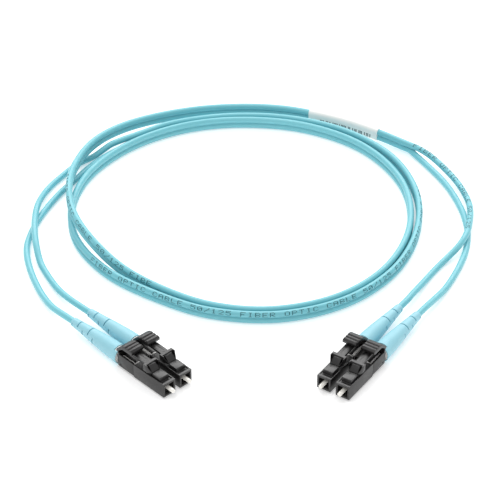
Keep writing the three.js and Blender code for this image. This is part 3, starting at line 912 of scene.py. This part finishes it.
@dataclass
class DuplexClip:
    """The clip that holds two plugs at their pitch, in millimetres in the pair's frame."""

    pitch: float = 6.25
    plug_half: float = 2.25
    front: float = -13.04
    back: float = -20.3
    wall: float = 0.6
    yoke: float = 1.2
    low: float = -1.85
    floor_top: float = -1.66
    yoke_top: float = 2.95
    divider_half: float = 0.85
    pad_inset: float = 0.9
    saddle_half: float = 0.8
    saddle_top: float = 1.78
    corner: float = 0.9
    hole_radius: float = 1.68

    def shape(self) -> Mesh:
        """Builds the clip: a tray with rounded rear corners, divider, stepped floor and yoke."""
        side = self.pitch / 2 + self.plug_half
        top = self.plug_half
        yoke_front = self.back + self.yoke
        plan = [
            (self.front, -side), (self.front, side), (self.back + self.corner, side),
            *arc((self.back + self.corner, side - self.corner), self.corner, 90, 180, 6)[1:],
            *arc((self.back + self.corner, -side + self.corner), self.corner, 180, 270, 6),
        ]
        tray = self.slab(plan, self.low, top)
        yoke = self.slab([(yoke_front, -side), (yoke_front, side), *plan[2:]], 0.0, self.yoke_top)
        inner, foot = side - self.wall, side - self.pad_inset
        hollow = box((yoke_front, -inner, self.floor_top), (self.front + 1, inner, 4))
        half = self.divider_half
        divider = box((yoke_front - 0.1, -half, self.low), (self.front, half, top - 0.1))
        pad = box((self.back + 2.4, -foot, self.low - 0.2), (self.front, foot, self.low + 0.1))
        steps = [(Join.ADD, yoke), (Join.CUT, hollow), (Join.ADD, divider), (Join.ADD, pad)]
        for sign in (-1, 1):
            half = self.saddle_half
            saddle = box((yoke_front - 0.1, -half, 1.4), (self.front - 0.7, half, self.saddle_top))
            saddle.transform(Matrix.Translation((0, sign * self.pitch / 2, 0)))
            steps.append((Join.ADD, saddle))
            hole = lathe(
                [(self.back - 1, 0), (self.back - 1, self.hole_radius),
                 (yoke_front + 1, self.hole_radius), (yoke_front + 1, 0)],
                40,
            )
            hole.transform(Matrix.Translation((0, sign * self.pitch / 2, 0)))
            dimple = lathe([(-0.12, 0), (-0.12, 0.28), (0.12, 0.28), (0.12, 0)], 20)
            turn = Matrix.Rotation(math.radians(90), 4, "Z")
            dimple.transform(Matrix.Translation((self.back + 1.9, sign * side, -0.9)) @ turn)
            steps += [(Join.CUT, hole), (Join.CUT, dimple)]
        return dress(softened(combine(tray, steps), 0.1), BLACK_PBT)

    def slab(self, plan: Outline, low: float, high: float) -> Mesh:
        """Raises a plan outline of x and y points into a slab."""
        count = len(plan)
        points = [(x, y, low) for x, y in plan] + [(x, y, high) for x, y in plan]
        faces = end_faces(count)
        faces += [(i, (i + 1) % count, (i + 1) % count + count, i + count) for i in range(count)]
        return outward(mesh_from("slab", points, faces))


@dataclass
class DuplexConnector:
    """One end's connector: two simplex plugs in a duplex clip."""

    side: str

    def build(self, shapes: dict[str, Mesh], clip: Mesh) -> None:
        """Places and attaches every piece of the connector.

        Args:
            shapes: a plug's shapes in the plug frame.
            clip: the clip's shape in the pair's frame.
        """
        places = [PlugPlace(self.side, channel) for channel in "ab"]
        for place in places:
            self.build_plug(place, shapes)
        pair, other = (place.matrix() for place in places)
        pair.translation = (pair.translation + other.translation) / 2
        mesh = clip.copy()
        mesh.transform(pair)
        made = link_object(f"clip_body_{self.side}", mesh)
        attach(made, "root")
        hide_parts(f"duplex_clip_{self.side}")
        LOG.info("clip %s placed", self.side)

    def build_plug(self, place: PlugPlace, shapes: dict[str, Mesh]) -> None:
        """Places one plug's pieces and dresses the nodes that it keeps."""
        for piece, (body, slot) in PLUG_PIECES.items():
            mesh = shapes[piece].copy()
            mesh.transform(place.matrix())
            made = link_object(place.named(f"{piece}_shape"), mesh)
            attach(made, body if body == "root" else place.named(body))
            if piece != "fibre_end":
                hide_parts(place.named(piece))
        for piece, finish in CARRIED_OVER.items():
            node = frame["nodes"][place.named(piece)]
            node.data.materials.clear()
            node.data.materials.append(MATERIALS[finish.name])
        LOG.info("plug %s %s placed", place.side, place.channel)


# ---------------------------------------------------------------- cord

# Middle of the cord's loop, and its route on edge round the loop, as in the CAD source: turn
# angle in degrees, distance from the loop's middle and height, in metres.
LOOP_CENTRE = Vector((0.000106, 0.070888, 0))
CORD_ROUTE = [
    (130, 0.0542, 0.0021), (118, 0.0536, 0.0021), (96, 0.0523, 0.0021), (74, 0.0526, 0.0021),
    (52, 0.0538, 0.0021), (30, 0.0546, 0.0021), (8, 0.0542, 0.0021), (-14, 0.0540, 0.0021),
    (-36, 0.0549, 0.0021), (-58, 0.0556, 0.0021), (-80, 0.0552, 0.0021), (-102, 0.0536, 0.0021),
    (-122, 0.0521, 0.0021), (-142, 0.0534, 0.0021), (-162, 0.0549, 0.0021), (-180, 0.0549, 0.0021),
    (-200, 0.0540, 0.0021), (-222, 0.0522, 0.0021), (-244, 0.0508, 0.0021), (-266, 0.0498, 0.0021),
    (-292, 0.0502, 0.0021), (-318, 0.0511, 0.0021), (-345, 0.0513, 0.0021), (-372, 0.0515, 0.0021),
    (-398, 0.0526, 0.0021), (-420, 0.0532, 0.0021), (-442, 0.0526, 0.0021), (-462, 0.0509, 0.0021),
    (-482, 0.0490, 0.0022), (-499, 0.0499, 0.0033), (-514, 0.0520, 0.0059), (-530, 0.0542, 0.0066),
    (-546, 0.0562, 0.0064), (-560, 0.0582, 0.0053), (-574, 0.0595, 0.0050), (-590, 0.0595, 0.0037),
    (-615, 0.0580, 0.0024), (-640, 0.0571, 0.0026), (-662, 0.0578, 0.0027), (-676, 0.0599, 0.0026),
    (-685, 0.0624, 0.0024),
]


class CordEnd(Enum):
    """The end of the figure-of-eight that a leg splits from."""

    START = "start"
    END = "end"


@dataclass(frozen=True)
class LegRoute:
    """One split leg's route: x and y about the loop's middle and height, in metres."""

    name: str
    joins: CordEnd
    above: bool
    points: tuple[Corner, ...]


LEGS = [
    LegRoute("left_a", CordEnd.START, True, (
        (-0.0496, -0.0499, 0.0028), (-0.0532, -0.0454, 0.0022), (-0.0566, -0.0400, 0.0014),
        (-0.0600, -0.0332, 0.00105), (-0.0628, -0.0266, 0.0013), (-0.0645, -0.0198, 0.0027),
        (-0.0655, -0.0130, 0.0032), (-0.0659, -0.0065, 0.0032), (-0.0657, 0.0, 0.0031),
        (-0.0650, 0.0057, 0.0022), (-0.0638, 0.0110, 0.0013), (-0.0618, 0.0156, 0.00105),
        (-0.0593, 0.0198, 0.00105), (-0.0570, 0.0234, 0.00105), (-0.0540, 0.0274, 0.00105),
        (-0.0497, 0.0310, 0.00115), (-0.0469, 0.0333, 0.0020), (-0.0444, 0.0352, 0.0029),
        (-0.0404, 0.0380, 0.0031),
    )),
    LegRoute("left_b", CordEnd.START, False, (
        (-0.0542, -0.0540, 0.0027), (-0.0576, -0.0496, 0.0020), (-0.0609, -0.0432, 0.0013),
        (-0.0637, -0.0362, 0.00105), (-0.0659, -0.0292, 0.00105), (-0.0672, -0.0230, 0.00105),
        (-0.0676, -0.0175, 0.00105), (-0.0670, -0.0122, 0.00105), (-0.0658, -0.0068, 0.00105),
        (-0.0640, -0.0008, 0.00105), (-0.0614, 0.0058, 0.00105), (-0.0590, 0.0109, 0.00105),
        (-0.0570, 0.0144, 0.00105), (-0.0544, 0.0186, 0.00105), (-0.0514, 0.0238, 0.00105),
        (-0.0473, 0.0295, 0.00105), (-0.0419, 0.0350, 0.00105),
    )),
    LegRoute("right_a", CordEnd.END, False, (
        (0.0532, -0.0503, 0.0027), (0.0561, -0.0456, 0.0020), (0.0596, -0.0396, 0.0012),
        (0.0636, -0.0310, 0.00105), (0.0666, -0.0226, 0.00105), (0.0681, -0.0152, 0.00105),
        (0.0685, -0.0086, 0.00105), (0.0679, -0.0012, 0.00105), (0.0669, 0.0040, 0.00105),
        (0.0656, 0.0090, 0.00105), (0.0638, 0.0144, 0.00105), (0.0616, 0.0194, 0.00105),
        (0.0592, 0.0240, 0.00105), (0.0569, 0.0282, 0.00105), (0.0548, 0.0316, 0.0012),
    )),
    LegRoute("right_b", CordEnd.END, True, (
        (0.0478, -0.0471, 0.0028), (0.0496, -0.0436, 0.0024), (0.0519, -0.0392, 0.0017),
        (0.0546, -0.0342, 0.0011), (0.0582, -0.0284, 0.00105), (0.0616, -0.0240, 0.0015),
        (0.0643, -0.0209, 0.0024), (0.0663, -0.0179, 0.0031), (0.0680, -0.0136, 0.0032),
        (0.0692, -0.0080, 0.0032), (0.0699, -0.0018, 0.0029), (0.0698, 0.0036, 0.0024),
        (0.0687, 0.0094, 0.0022), (0.0666, 0.0159, 0.0022), (0.0639, 0.0216, 0.0023),
        (0.0613, 0.0260, 0.0026), (0.0586, 0.0297, 0.0029), (0.0557, 0.0325, 0.0032),
    )),
]


def smooth_path(knots: list[Vector], per_span: int) -> list[Vector]:
    """Runs a centripetal Catmull-Rom curve through knots.

    Args:
        knots: the points that it passes through.
        per_span: how many steps each span between two knots gets.

    Returns:
        Points along the curve, both ends included.
    """
    padded = [2 * knots[0] - knots[1], *knots, 2 * knots[-1] - knots[-2]]
    path: list[Vector] = []
    for k in range(len(knots) - 1):
        a, b, c, d = padded[k : k + 4]
        first, span, last = (max((q - p).length ** 0.5, 1e-6) for p, q in ((a, b), (b, c), (c, d)))
        leave = ((b - a) / first - (c - a) / (first + span) + (c - b) / span) * span
        enter = ((c - b) / span - (d - b) / (span + last) + (d - c) / last) * span
        for i in range(per_span):
            t = i / per_span
            path.append(
                b * (2 * t**3 - 3 * t**2 + 1)
                + leave * (t**3 - 2 * t**2 + t)
                + c * (3 * t**2 - 2 * t**3)
                + enter * (t**3 - t**2)
            )
    return [*path, knots[-1].copy()]


def path_length(path: list[Vector]) -> float:
    """Length of a path of points."""
    return sum((b - a).length for a, b in zip(path, path[1:]))


def path_curve(name: str, path: list[Vector], closed: bool = False) -> Object:
    """Makes a poly curve object from a path of points."""
    data = bpy.data.curves.new(name, "CURVE")
    data.dimensions = "3D"
    spline = data.splines.new("POLY")
    spline.points.add(len(path) - 1)
    for point, place in zip(spline.points, path):
        point.co = (*place, 1)
    spline.use_cyclic_u = closed
    return link_object(name, data)


@dataclass
class Jacket:
    """The cord's jackets: a figure-of-eight of two tubes joined by a web, and single legs."""

    radius: float = 0.001
    web: float = 0.0009
    label_wall: float = 0.00022
    sides: int = 20
    spans: int = 8

    def tree(self) -> NodeTree:
        """Geometry Nodes tree that sweeps a section along a path, its height kept upright."""
        tree, given = geometry_tree(
            "jacket_sweep", {"Section": "NodeSocketObject", "Finish": "NodeSocketMaterial"}
        )
        section = add_node(
            tree, "GeometryNodeObjectInfo", inputs={"Object": given.outputs["Section"]}
        )
        upright = add_node(
            tree, "GeometryNodeSetCurveNormal", {"mode": "Z_UP"},
            {"Curve": given.outputs["Geometry"]},
        )
        solid = add_node(
            tree,
            "GeometryNodeCurveToMesh",
            inputs={
                "Curve": upright.outputs[0], "Profile Curve": section.outputs["Geometry"],
                "Fill Caps": True,
            },
        )
        smooth = add_node(tree, "GeometryNodeSetShadeSmooth", inputs={0: solid.outputs[0]})
        close_tree(tree, smooth.outputs[0], given.outputs["Finish"])
        return tree

    def round_section(self) -> list[Vector]:
        """Section of a single leg."""
        return [Vector((x, y, 0)) for x, y in arc((0, 0), self.radius, 0, 360, self.sides)[:-1]]

    def eight_section(self) -> list[Vector]:
        """Section of the figure-of-eight, its two tubes one above the other along Y."""
        waist = math.degrees(math.asin(self.web / 2 / self.radius))
        steps = self.sides - 2
        high = arc((0, self.radius), self.radius, -90 + waist, 270 - waist, steps)
        low = arc((0, -self.radius), self.radius, 90 + waist, 450 - waist, steps)
        return [Vector((x, y, 0)) for x, y in [*high, *low]]

    def label_section(self) -> list[Vector]:
        """Section of the label film: a flat-sided wrap round both tubes."""
        reach = self.radius + self.label_wall
        high = arc((0, self.radius), reach, 0, 180, self.sides // 2)
        low = arc((0, -self.radius), reach, 180, 360, self.sides // 2)
        return [Vector((x, y, 0)) for x, y in [*high, *low]]

    def sweep(
        self, name: str, path: list[Vector], section: list[Vector], finish: Surface
    ) -> Object:
        """Sweeps a section along a path.

        Args:
            name: the piece's name.
            path: the centreline.
            section: the closed section.
            finish: what it is made of.

        Returns:
            The piece as a plain mesh object.
        """
        run = path_curve("run", path)
        outline = path_curve("outline", section, closed=True)
        run.data.twist_mode = "Z_UP"
        values = {"Section": outline, "Finish": MATERIALS[finish.name]}
        mesh = run_tree(self.tree(), run, values)
        for used in (run, outline):
            bpy.data.objects.remove(used)
        return link_object(name, dress(outward(mesh), finish))


@dataclass
class Cord:
    """The whole cord: figure-of-eight, legs, label and print."""

    jacket: Jacket
    label_turns: tuple[float, float] = (-650.5, -676.0)
    printed_turns: tuple[tuple[float, float], ...] = ((14.0, -150.0), (-484.0, -552.0))

    def route(self) -> list[Vector]:
        """The figure-of-eight's centreline."""
        knots = [
            LOOP_CENTRE
            + Vector((r * math.cos(math.radians(a)), r * math.sin(math.radians(a)), z))
            for a, r, z in CORD_ROUTE
        ]
        return smooth_path(knots, self.jacket.spans)

    def leg_path(self, leg: LegRoute, route: list[Vector]) -> list[Vector]:
        """One leg's centreline, out of its boot and onto its tube of the cord.

        Args:
            leg: the leg.
            route: the figure-of-eight's centreline.

        Returns:
            The centreline.
        """
        at_end = leg.joins is CordEnd.END
        tip = (route[-1] if at_end else route[0]).copy()
        away = (route[-1] - route[-2] if at_end else route[0] - route[1]).normalized()
        tip.z += self.jacket.radius if leg.above else -self.jacket.radius
        plug = PlugPlace(*leg.name.split("_")).matrix()
        boot_end = plug @ Vector((SimplexPlug.boot_back, 0, 0))
        middle = [LOOP_CENTRE + Vector(point) for point in leg.points]
        knots = [boot_end, *middle, tip + away * (0.0003 + 2 * self.jacket.radius), tip]
        return smooth_path(knots, self.jacket.spans)

    def stretch(self, route: list[Vector], turns: tuple[float, float]) -> list[Vector]:
        """The stretch of the centreline between two turn angles."""
        spans = self.jacket.spans
        picked = []
        for turn in turns:
            after = next(i for i, (a, _, _) in enumerate(CORD_ROUTE) if a <= turn)
            before, beyond = CORD_ROUTE[after - 1][0], CORD_ROUTE[after][0]
            picked.append(round((after - 1 + (before - turn) / (before - beyond)) * spans))
        return route[picked[0] : picked[1] + 1]

    def build(self) -> None:
        route = self.route()
        zip_cord = self.jacket.sweep(
            "figure_of_eight_jacket", route, self.jacket.eight_section(), AQUA_PVC
        )
        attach(zip_cord, "root")
        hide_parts("duplex_cord")
        wrapped = self.stretch(route, self.label_turns)
        label = self.jacket.sweep("label_wrap", wrapped, self.jacket.label_section(), VINYL_FILM)
        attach(label, "root")
        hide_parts("cord_label")
        legend = Legend(self.jacket)
        printed = [legend.bars(wrapped)]
        for number, turns in enumerate(self.printed_turns, 1):
            printed.append(legend.on_cord(number, self.stretch(route, turns)))
        for leg in LEGS:
            path = self.leg_path(leg, route)
            piece = self.jacket.sweep(
                f"leg_jacket_{leg.name}", path, self.jacket.round_section(), AQUA_PVC
            )
            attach(piece, "root")
            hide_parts(f"leg_{leg.name}")
            on_leg = legend.build_leg(leg, path)
            LOG.info("leg %s is %.1f mm", leg.name, path_length(path) / MM)
        LOG.info("figure-of-eight is %.1f mm", path_length(route) / MM)


# Dot-matrix characters of the jacket print, seven rows of five dots each, top row first.
GLYPHS = {
    "F": "##### #.... #.... ####. #.... #.... #....",
    "I": ".###. ..#.. ..#.. ..#.. ..#.. ..#.. .###.",
    "B": "####. #...# #...# ####. #...# #...# ####.",
    "E": "##### #.... #.... ####. #.... #.... #####",
    "R": "####. #...# #...# ####. #.#.. #..#. #...#",
    "O": ".###. #...# #...# #...# #...# #...# .###.",
    "P": "####. #...# #...# ####. #.... #.... #....",
    "T": "##### ..#.. ..#.. ..#.. ..#.. ..#.. ..#..",
    "C": ".###. #...# #.... #.... #.... #...# .###.",
    "A": ".###. #...# #...# ##### #...# #...# #...#",
    "L": "#.... #.... #.... #.... #.... #.... #####",
    "5": "##### #.... ####. ....# ....# #...# .###.",
    "0": ".###. #...# #..## #.#.# ##..# #...# .###.",
    "1": "..#.. .##.. ..#.. ..#.. ..#.. ..#.. .###.",
    "2": ".###. #...# ....# ...#. ..#.. .#... #####",
    "/": "....# ....# ...#. ..#.. .#... #.... #....",
}
LEGEND_TEXT = "FIBER OPTIC CABLE 50/125 "

NUMBER, VECTOR = "ShaderNodeMath", "ShaderNodeVectorMath"
# How the print is wrapped round a jacket: each step's result, maths, operation and inputs.
WRAP_STEPS = [
    ("sideways", VECTOR, "CROSS_PRODUCT", "Tangent", "Up"),
    ("inward", VECTOR, "NORMALIZE", "sideways"),
    ("facing", VECTOR, "SCALE", "inward", "Sense"),
    ("high", VECTOR, "CROSS_PRODUCT", "inward", "Tangent"),
    ("curled", NUMBER, "MULTIPLY", "Across", "Curl"),
    ("flat_rise", NUMBER, "SUBTRACT", "Across", "curled"),
    ("rise", NUMBER, "ADD", "flat_rise", "Raise"),
    ("bend", NUMBER, "DIVIDE", "curled", "Radius"),
    ("angle", NUMBER, "ADD", "bend", "Phase"),
    ("cosine", NUMBER, "COSINE", "angle"),
    ("sine", NUMBER, "SINE", "angle"),
    ("reach", NUMBER, "MULTIPLY", "cosine", "Radius"),
    ("climb", NUMBER, "MULTIPLY", "sine", "Radius"),
    ("spoke_out", VECTOR, "SCALE", "facing", "reach"),
    ("spoke_up", VECTOR, "SCALE", "high", "climb"),
    ("raised", VECTOR, "SCALE", "high", "rise"),
    ("lifted", VECTOR, "ADD", "Position", "raised"),
    ("turned", VECTOR, "ADD", "lifted", "spoke_out"),
    ("total", VECTOR, "ADD", "turned", "spoke_up"),
]


@dataclass
class Legend:
    """Generic ink-jet print on the jackets, and the bars printed on the label."""

    jacket: Jacket
    dot: float = 0.00017
    column: float = 0.00031
    row: float = 0.00021
    advance: float = 0.00215
    lift: float = 0.00001
    ink: float = 0.00001
    cord_phase: float = 26.0
    leg_phase: float = 70.0
    leg_margin: float = 0.004
    bar: tuple[float, float] = (0.00034, 0.0012)
    bar_margins: tuple[float, float] = (0.0025, 0.0035)
    bar_gaps: tuple[float, ...] = (0.0005, 0.0008, 0.0011)
    seed: int = 7

    def dots(self, text: str) -> list[Vector]:
        """Dot places of a text: distance along the run and across it, in metres."""
        places = []
        for k, letter in enumerate(text):
            rows = GLYPHS.get(letter, "").split()
            for r, cells in enumerate(rows):
                places += [
                    Vector((k * self.advance + c * self.column, (3 - r) * self.row, 0))
                    for c, cell in enumerate(cells)
                    if cell == "#"
                ]
        return places

    def tree(self) -> NodeTree:
        """Geometry Nodes tree that puts a dot on each place and wraps them round a jacket.

        The run is read from the start point backwards or forwards along the path, the phase is
        the angle above the horizontal at which the middle row lies, and the curl is 1 on a
        round jacket and 0 on a flat side.
        """
        tree, given = geometry_tree(
            "jacket_print",
            {
                "Path": "NodeSocketObject", "Mark": "NodeSocketObject", "Start": "NodeSocketFloat",
                "Sense": "NodeSocketFloat", "Radius": "NodeSocketFloat", "Raise": "NodeSocketFloat",
                "Phase": "NodeSocketFloat", "Curl": "NodeSocketFloat",
                "Finish": "NodeSocketMaterial",
            },
        )
        mark = add_node(tree, "GeometryNodeObjectInfo", inputs={"Object": given.outputs["Mark"]})
        path = add_node(tree, "GeometryNodeObjectInfo", inputs={"Object": given.outputs["Path"]})
        marks = add_node(
            tree, "GeometryNodeInstanceOnPoints",
            inputs={"Points": given.outputs["Geometry"], "Instance": mark.outputs["Geometry"]},
        )
        flat = add_node(tree, "GeometryNodeRealizeInstances", inputs={0: marks.outputs[0]})
        place = add_node(tree, "GeometryNodeInputPosition")
        split = add_node(tree, "ShaderNodeSeparateXYZ", inputs={0: place.outputs[0]})
        run = add_node(
            tree, "ShaderNodeMath", {"operation": "MULTIPLY_ADD"},
            {0: split.outputs["X"], 1: given.outputs["Sense"], 2: given.outputs["Start"]},
        )
        along = add_node(
            tree, "GeometryNodeSampleCurve", {"mode": "LENGTH"},
            {"Curves": path.outputs["Geometry"], "Length": run.outputs[0]},
        )
        numbers = ("Sense", "Radius", "Raise", "Phase", "Curl")
        known = {label: given.outputs[label] for label in numbers}
        known |= {"Up": UP, "Across": split.outputs["Y"]}
        known |= {label: along.outputs[label] for label in ("Tangent", "Position")}
        for name, kind, operation, *sources in WRAP_STEPS:
            keys = (0, "Scale") if operation == "SCALE" else (0, 1)
            feeds = {key: known[source] for key, source in zip(keys, sources)}
            known[name] = add_node(tree, kind, {"operation": operation}, feeds).outputs[0]
        wrapped = add_node(
            tree,
            "GeometryNodeSetPosition",
            inputs={"Geometry": flat.outputs[0], "Position": known["total"]},
        )
        close_tree(tree, wrapped.outputs[0], given.outputs["Finish"])
        return tree

    def mark(self, width: float, height: float, sides: int) -> Object:
        """One printed mark: a flat disc or block of ink, as an object in the XY plane."""
        points = [
            (0.5 * width * x, 0.5 * height * y, 0.0)
            for x, y in arc((0, 0), 1.0 if sides > 4 else 2**0.5, 45, 405, sides)[:-1]
        ]
        count = len(points)
        low = [(x, y, -self.ink) for x, y, _ in points]
        faces = end_faces(count)
        faces += [(i, i + count, (i + 1) % count + count, (i + 1) % count) for i in range(count)]
        return link_object("mark", outward(mesh_from("mark", points + low, faces)))

    def print_on(
        self,
        name: str,
        places: list[Vector],
        path: list[Vector],
        mark: Object,
        finish: Surface,
        slot: str,
        **values: float,
    ) -> Object:
        """Prints marks on a jacket.

        Args:
            name: the piece's name.
            places: each mark's distance along and across.
            path: the jacket's centreline.
            mark: the mark, which is removed afterwards.
            finish: the ink.
            slot: the record's material slot; not used.
            values: the print tree's number inputs.

        Returns:
            The printed piece, riding on the root body.
        """
        field = link_object("field", mesh_from("field", [tuple(p) for p in places], []))
        run = path_curve("run", path)
        inputs = {"Path": run, "Mark": mark, "Finish": MATERIALS[finish.name], **values}
        mesh = run_tree(self.tree(), field, inputs)
        for used in (field, run, mark):
            bpy.data.objects.remove(used)
        made = link_object(name, dress(mesh, finish))
        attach(made, "root")
        LOG.info("%s has %d marks", name, len(places))
        return made

    def on_cord(self, number: int, run: list[Vector]) -> Object:
        """Prints the legend along a stretch of the figure-of-eight's upper tube."""
        length = path_length(run)
        letters = int(length / self.advance)
        text = (LEGEND_TEXT * (letters // len(LEGEND_TEXT) + 1))[:letters]
        return self.print_on(
            f"jacket_legend_{number}", self.dots(text), run,
            self.mark(self.dot * 2, self.dot * 1.5, 6), JACKET_INK, "aqua_jacket", Start=length,
            Sense=-1.0, Radius=self.jacket.radius + self.lift, Raise=self.jacket.radius,
            Phase=math.radians(self.cord_phase), Curl=1.0,
        )

    def bars(self, label: list[Vector]) -> Object:
        """Prints a row of generic bars along the label's inner side."""
        dice = random.Random(self.seed)
        length = path_length(label)
        at, margin = self.bar_margins
        places = []
        while at < length - margin:
            places.append(Vector((at, 0, 0)))
            at += dice.choice(self.bar_gaps)
        radius = self.jacket.radius + self.jacket.label_wall + self.lift
        return self.print_on(
            "label_bars", places, label, self.mark(*self.bar, 4), LABEL_INK, "label_paper",
            Start=length, Sense=-1.0, Radius=radius, Raise=-0.7 * self.jacket.radius,
            Phase=math.radians(180), Curl=0.0,
        )

    def build_leg(self, leg: LegRoute, path: list[Vector]) -> list[Object]:
        """Prints the legend on the one leg that shows it."""
        if leg.name != "right_b":
            return []
        mark = self.mark(self.dot * 2, self.dot * 1.5, 6)
        return [
            self.print_on(
                "leg_legend", self.dots(LEGEND_TEXT), path, mark, JACKET_INK, "aqua_jacket",
                Start=path_length(path) - self.leg_margin, Sense=-1.0, Curl=1.0, Raise=0.0,
                Radius=self.jacket.radius + self.lift, Phase=math.radians(self.leg_phase),
            )
        ]


# ---------------------------------------------------------------- stage


@dataclass
class Studio:
    """Pale floor, soft lights and the camera. Lengths are in metres."""

    target: tuple[float, float, float] = (0.00111, 0.05239, 0.0)
    distance: float = 0.71694
    elevation: float = 36.5
    focal: float = 167.76
    sensor: float = 36.0
    floor_size: float = 6.0

    def build(self) -> None:
        """Builds the stage in order."""
        self.camera()
        self.floor()
        self.world()
        self.softbox("back_softbox", (0.1, 1.15, 0.95), (1.6, 0.9), 17.0)
        self.softbox("top_softbox", (-0.3, -0.1, 1.4), (0.9, 0.9), 5.0)

    def camera(self) -> None:
        """Places the camera in front of and above the cord."""
        data = bpy.data.cameras.new("camera")
        data.sensor_width = self.sensor
        data.lens = self.focal
        data.clip_start = 0.01
        data.clip_end = 50
        tilt = math.radians(self.elevation)
        made = link_object("camera", data)
        back = Vector((0, -math.cos(tilt), math.sin(tilt)))
        made.location = Vector(self.target) + back * self.distance
        made.rotation_euler = (math.radians(90 - self.elevation), 0, 0)
        bpy.context.scene.camera = made

    def floor(self) -> None:
        """Lays the pale floor."""
        half = self.floor_size / 2
        corners = [(-half, -half, 0), (half, -half, 0), (half, half, 0), (-half, half, 0)]
        plane = link_object("studio_floor", mesh_from("studio_floor", corners, [(0, 1, 2, 3)]))
        paper = bpy.data.materials.new("lit_acrylic_table")
        paper.use_nodes = True
        shader = paper.node_tree.nodes["Principled BSDF"]
        shader.inputs["Base Color"].default_value = linear("#f0f0f0")
        shader.inputs["Roughness"].default_value = 0.9
        shader.inputs["Specular IOR Level"].default_value = 0.1
        shader.inputs["Emission Color"].default_value = (1, 1, 1, 1)
        shader.inputs["Emission Strength"].default_value = 0.35
        plane.data.materials.append(paper)

    def world(self) -> None:
        """Lights the stage evenly from all round."""
        world = bpy.data.worlds.new("studio")
        bpy.context.scene.world = world
        world.use_nodes = True
        backdrop = world.node_tree.nodes["Background"]
        backdrop.inputs["Color"].default_value = (1, 1, 1, 1)
        backdrop.inputs["Strength"].default_value = 0.7

    def softbox(self, name: str, place: Corner, size: tuple[float, float], watts: float) -> None:
        """Hangs a softbox that faces the cord.

        Args:
            name: the light's name.
            place: its middle.
            size: its width and height.
            watts: its power.
        """
        data = bpy.data.lights.new(name, "AREA")
        data.shape = "RECTANGLE"
        data.size, data.size_y = size
        data.energy = watts
        made = link_object(name, data)
        made.location = place
        aim = Vector(self.target) - Vector(place)
        made.rotation_euler = aim.to_track_quat("-Z", "Y").to_euler()


# ---------------------------------------------------------------- whole object


def main() -> None:
    """Builds the stage, the cord and both connectors, and notes the model's size."""
    logging.basicConfig(level=logging.INFO, format="%(name)s: %(message)s")
    bpy.context.scene.view_settings.view_transform = "Standard"
    Studio().build()
    Cord(Jacket()).build()
    shapes = SimplexPlug().shapes()
    clip = DuplexClip().shape()
    for side in ("left", "right"):
        DuplexConnector(side).build(shapes, clip)


if __name__ == "__main__":
    main()
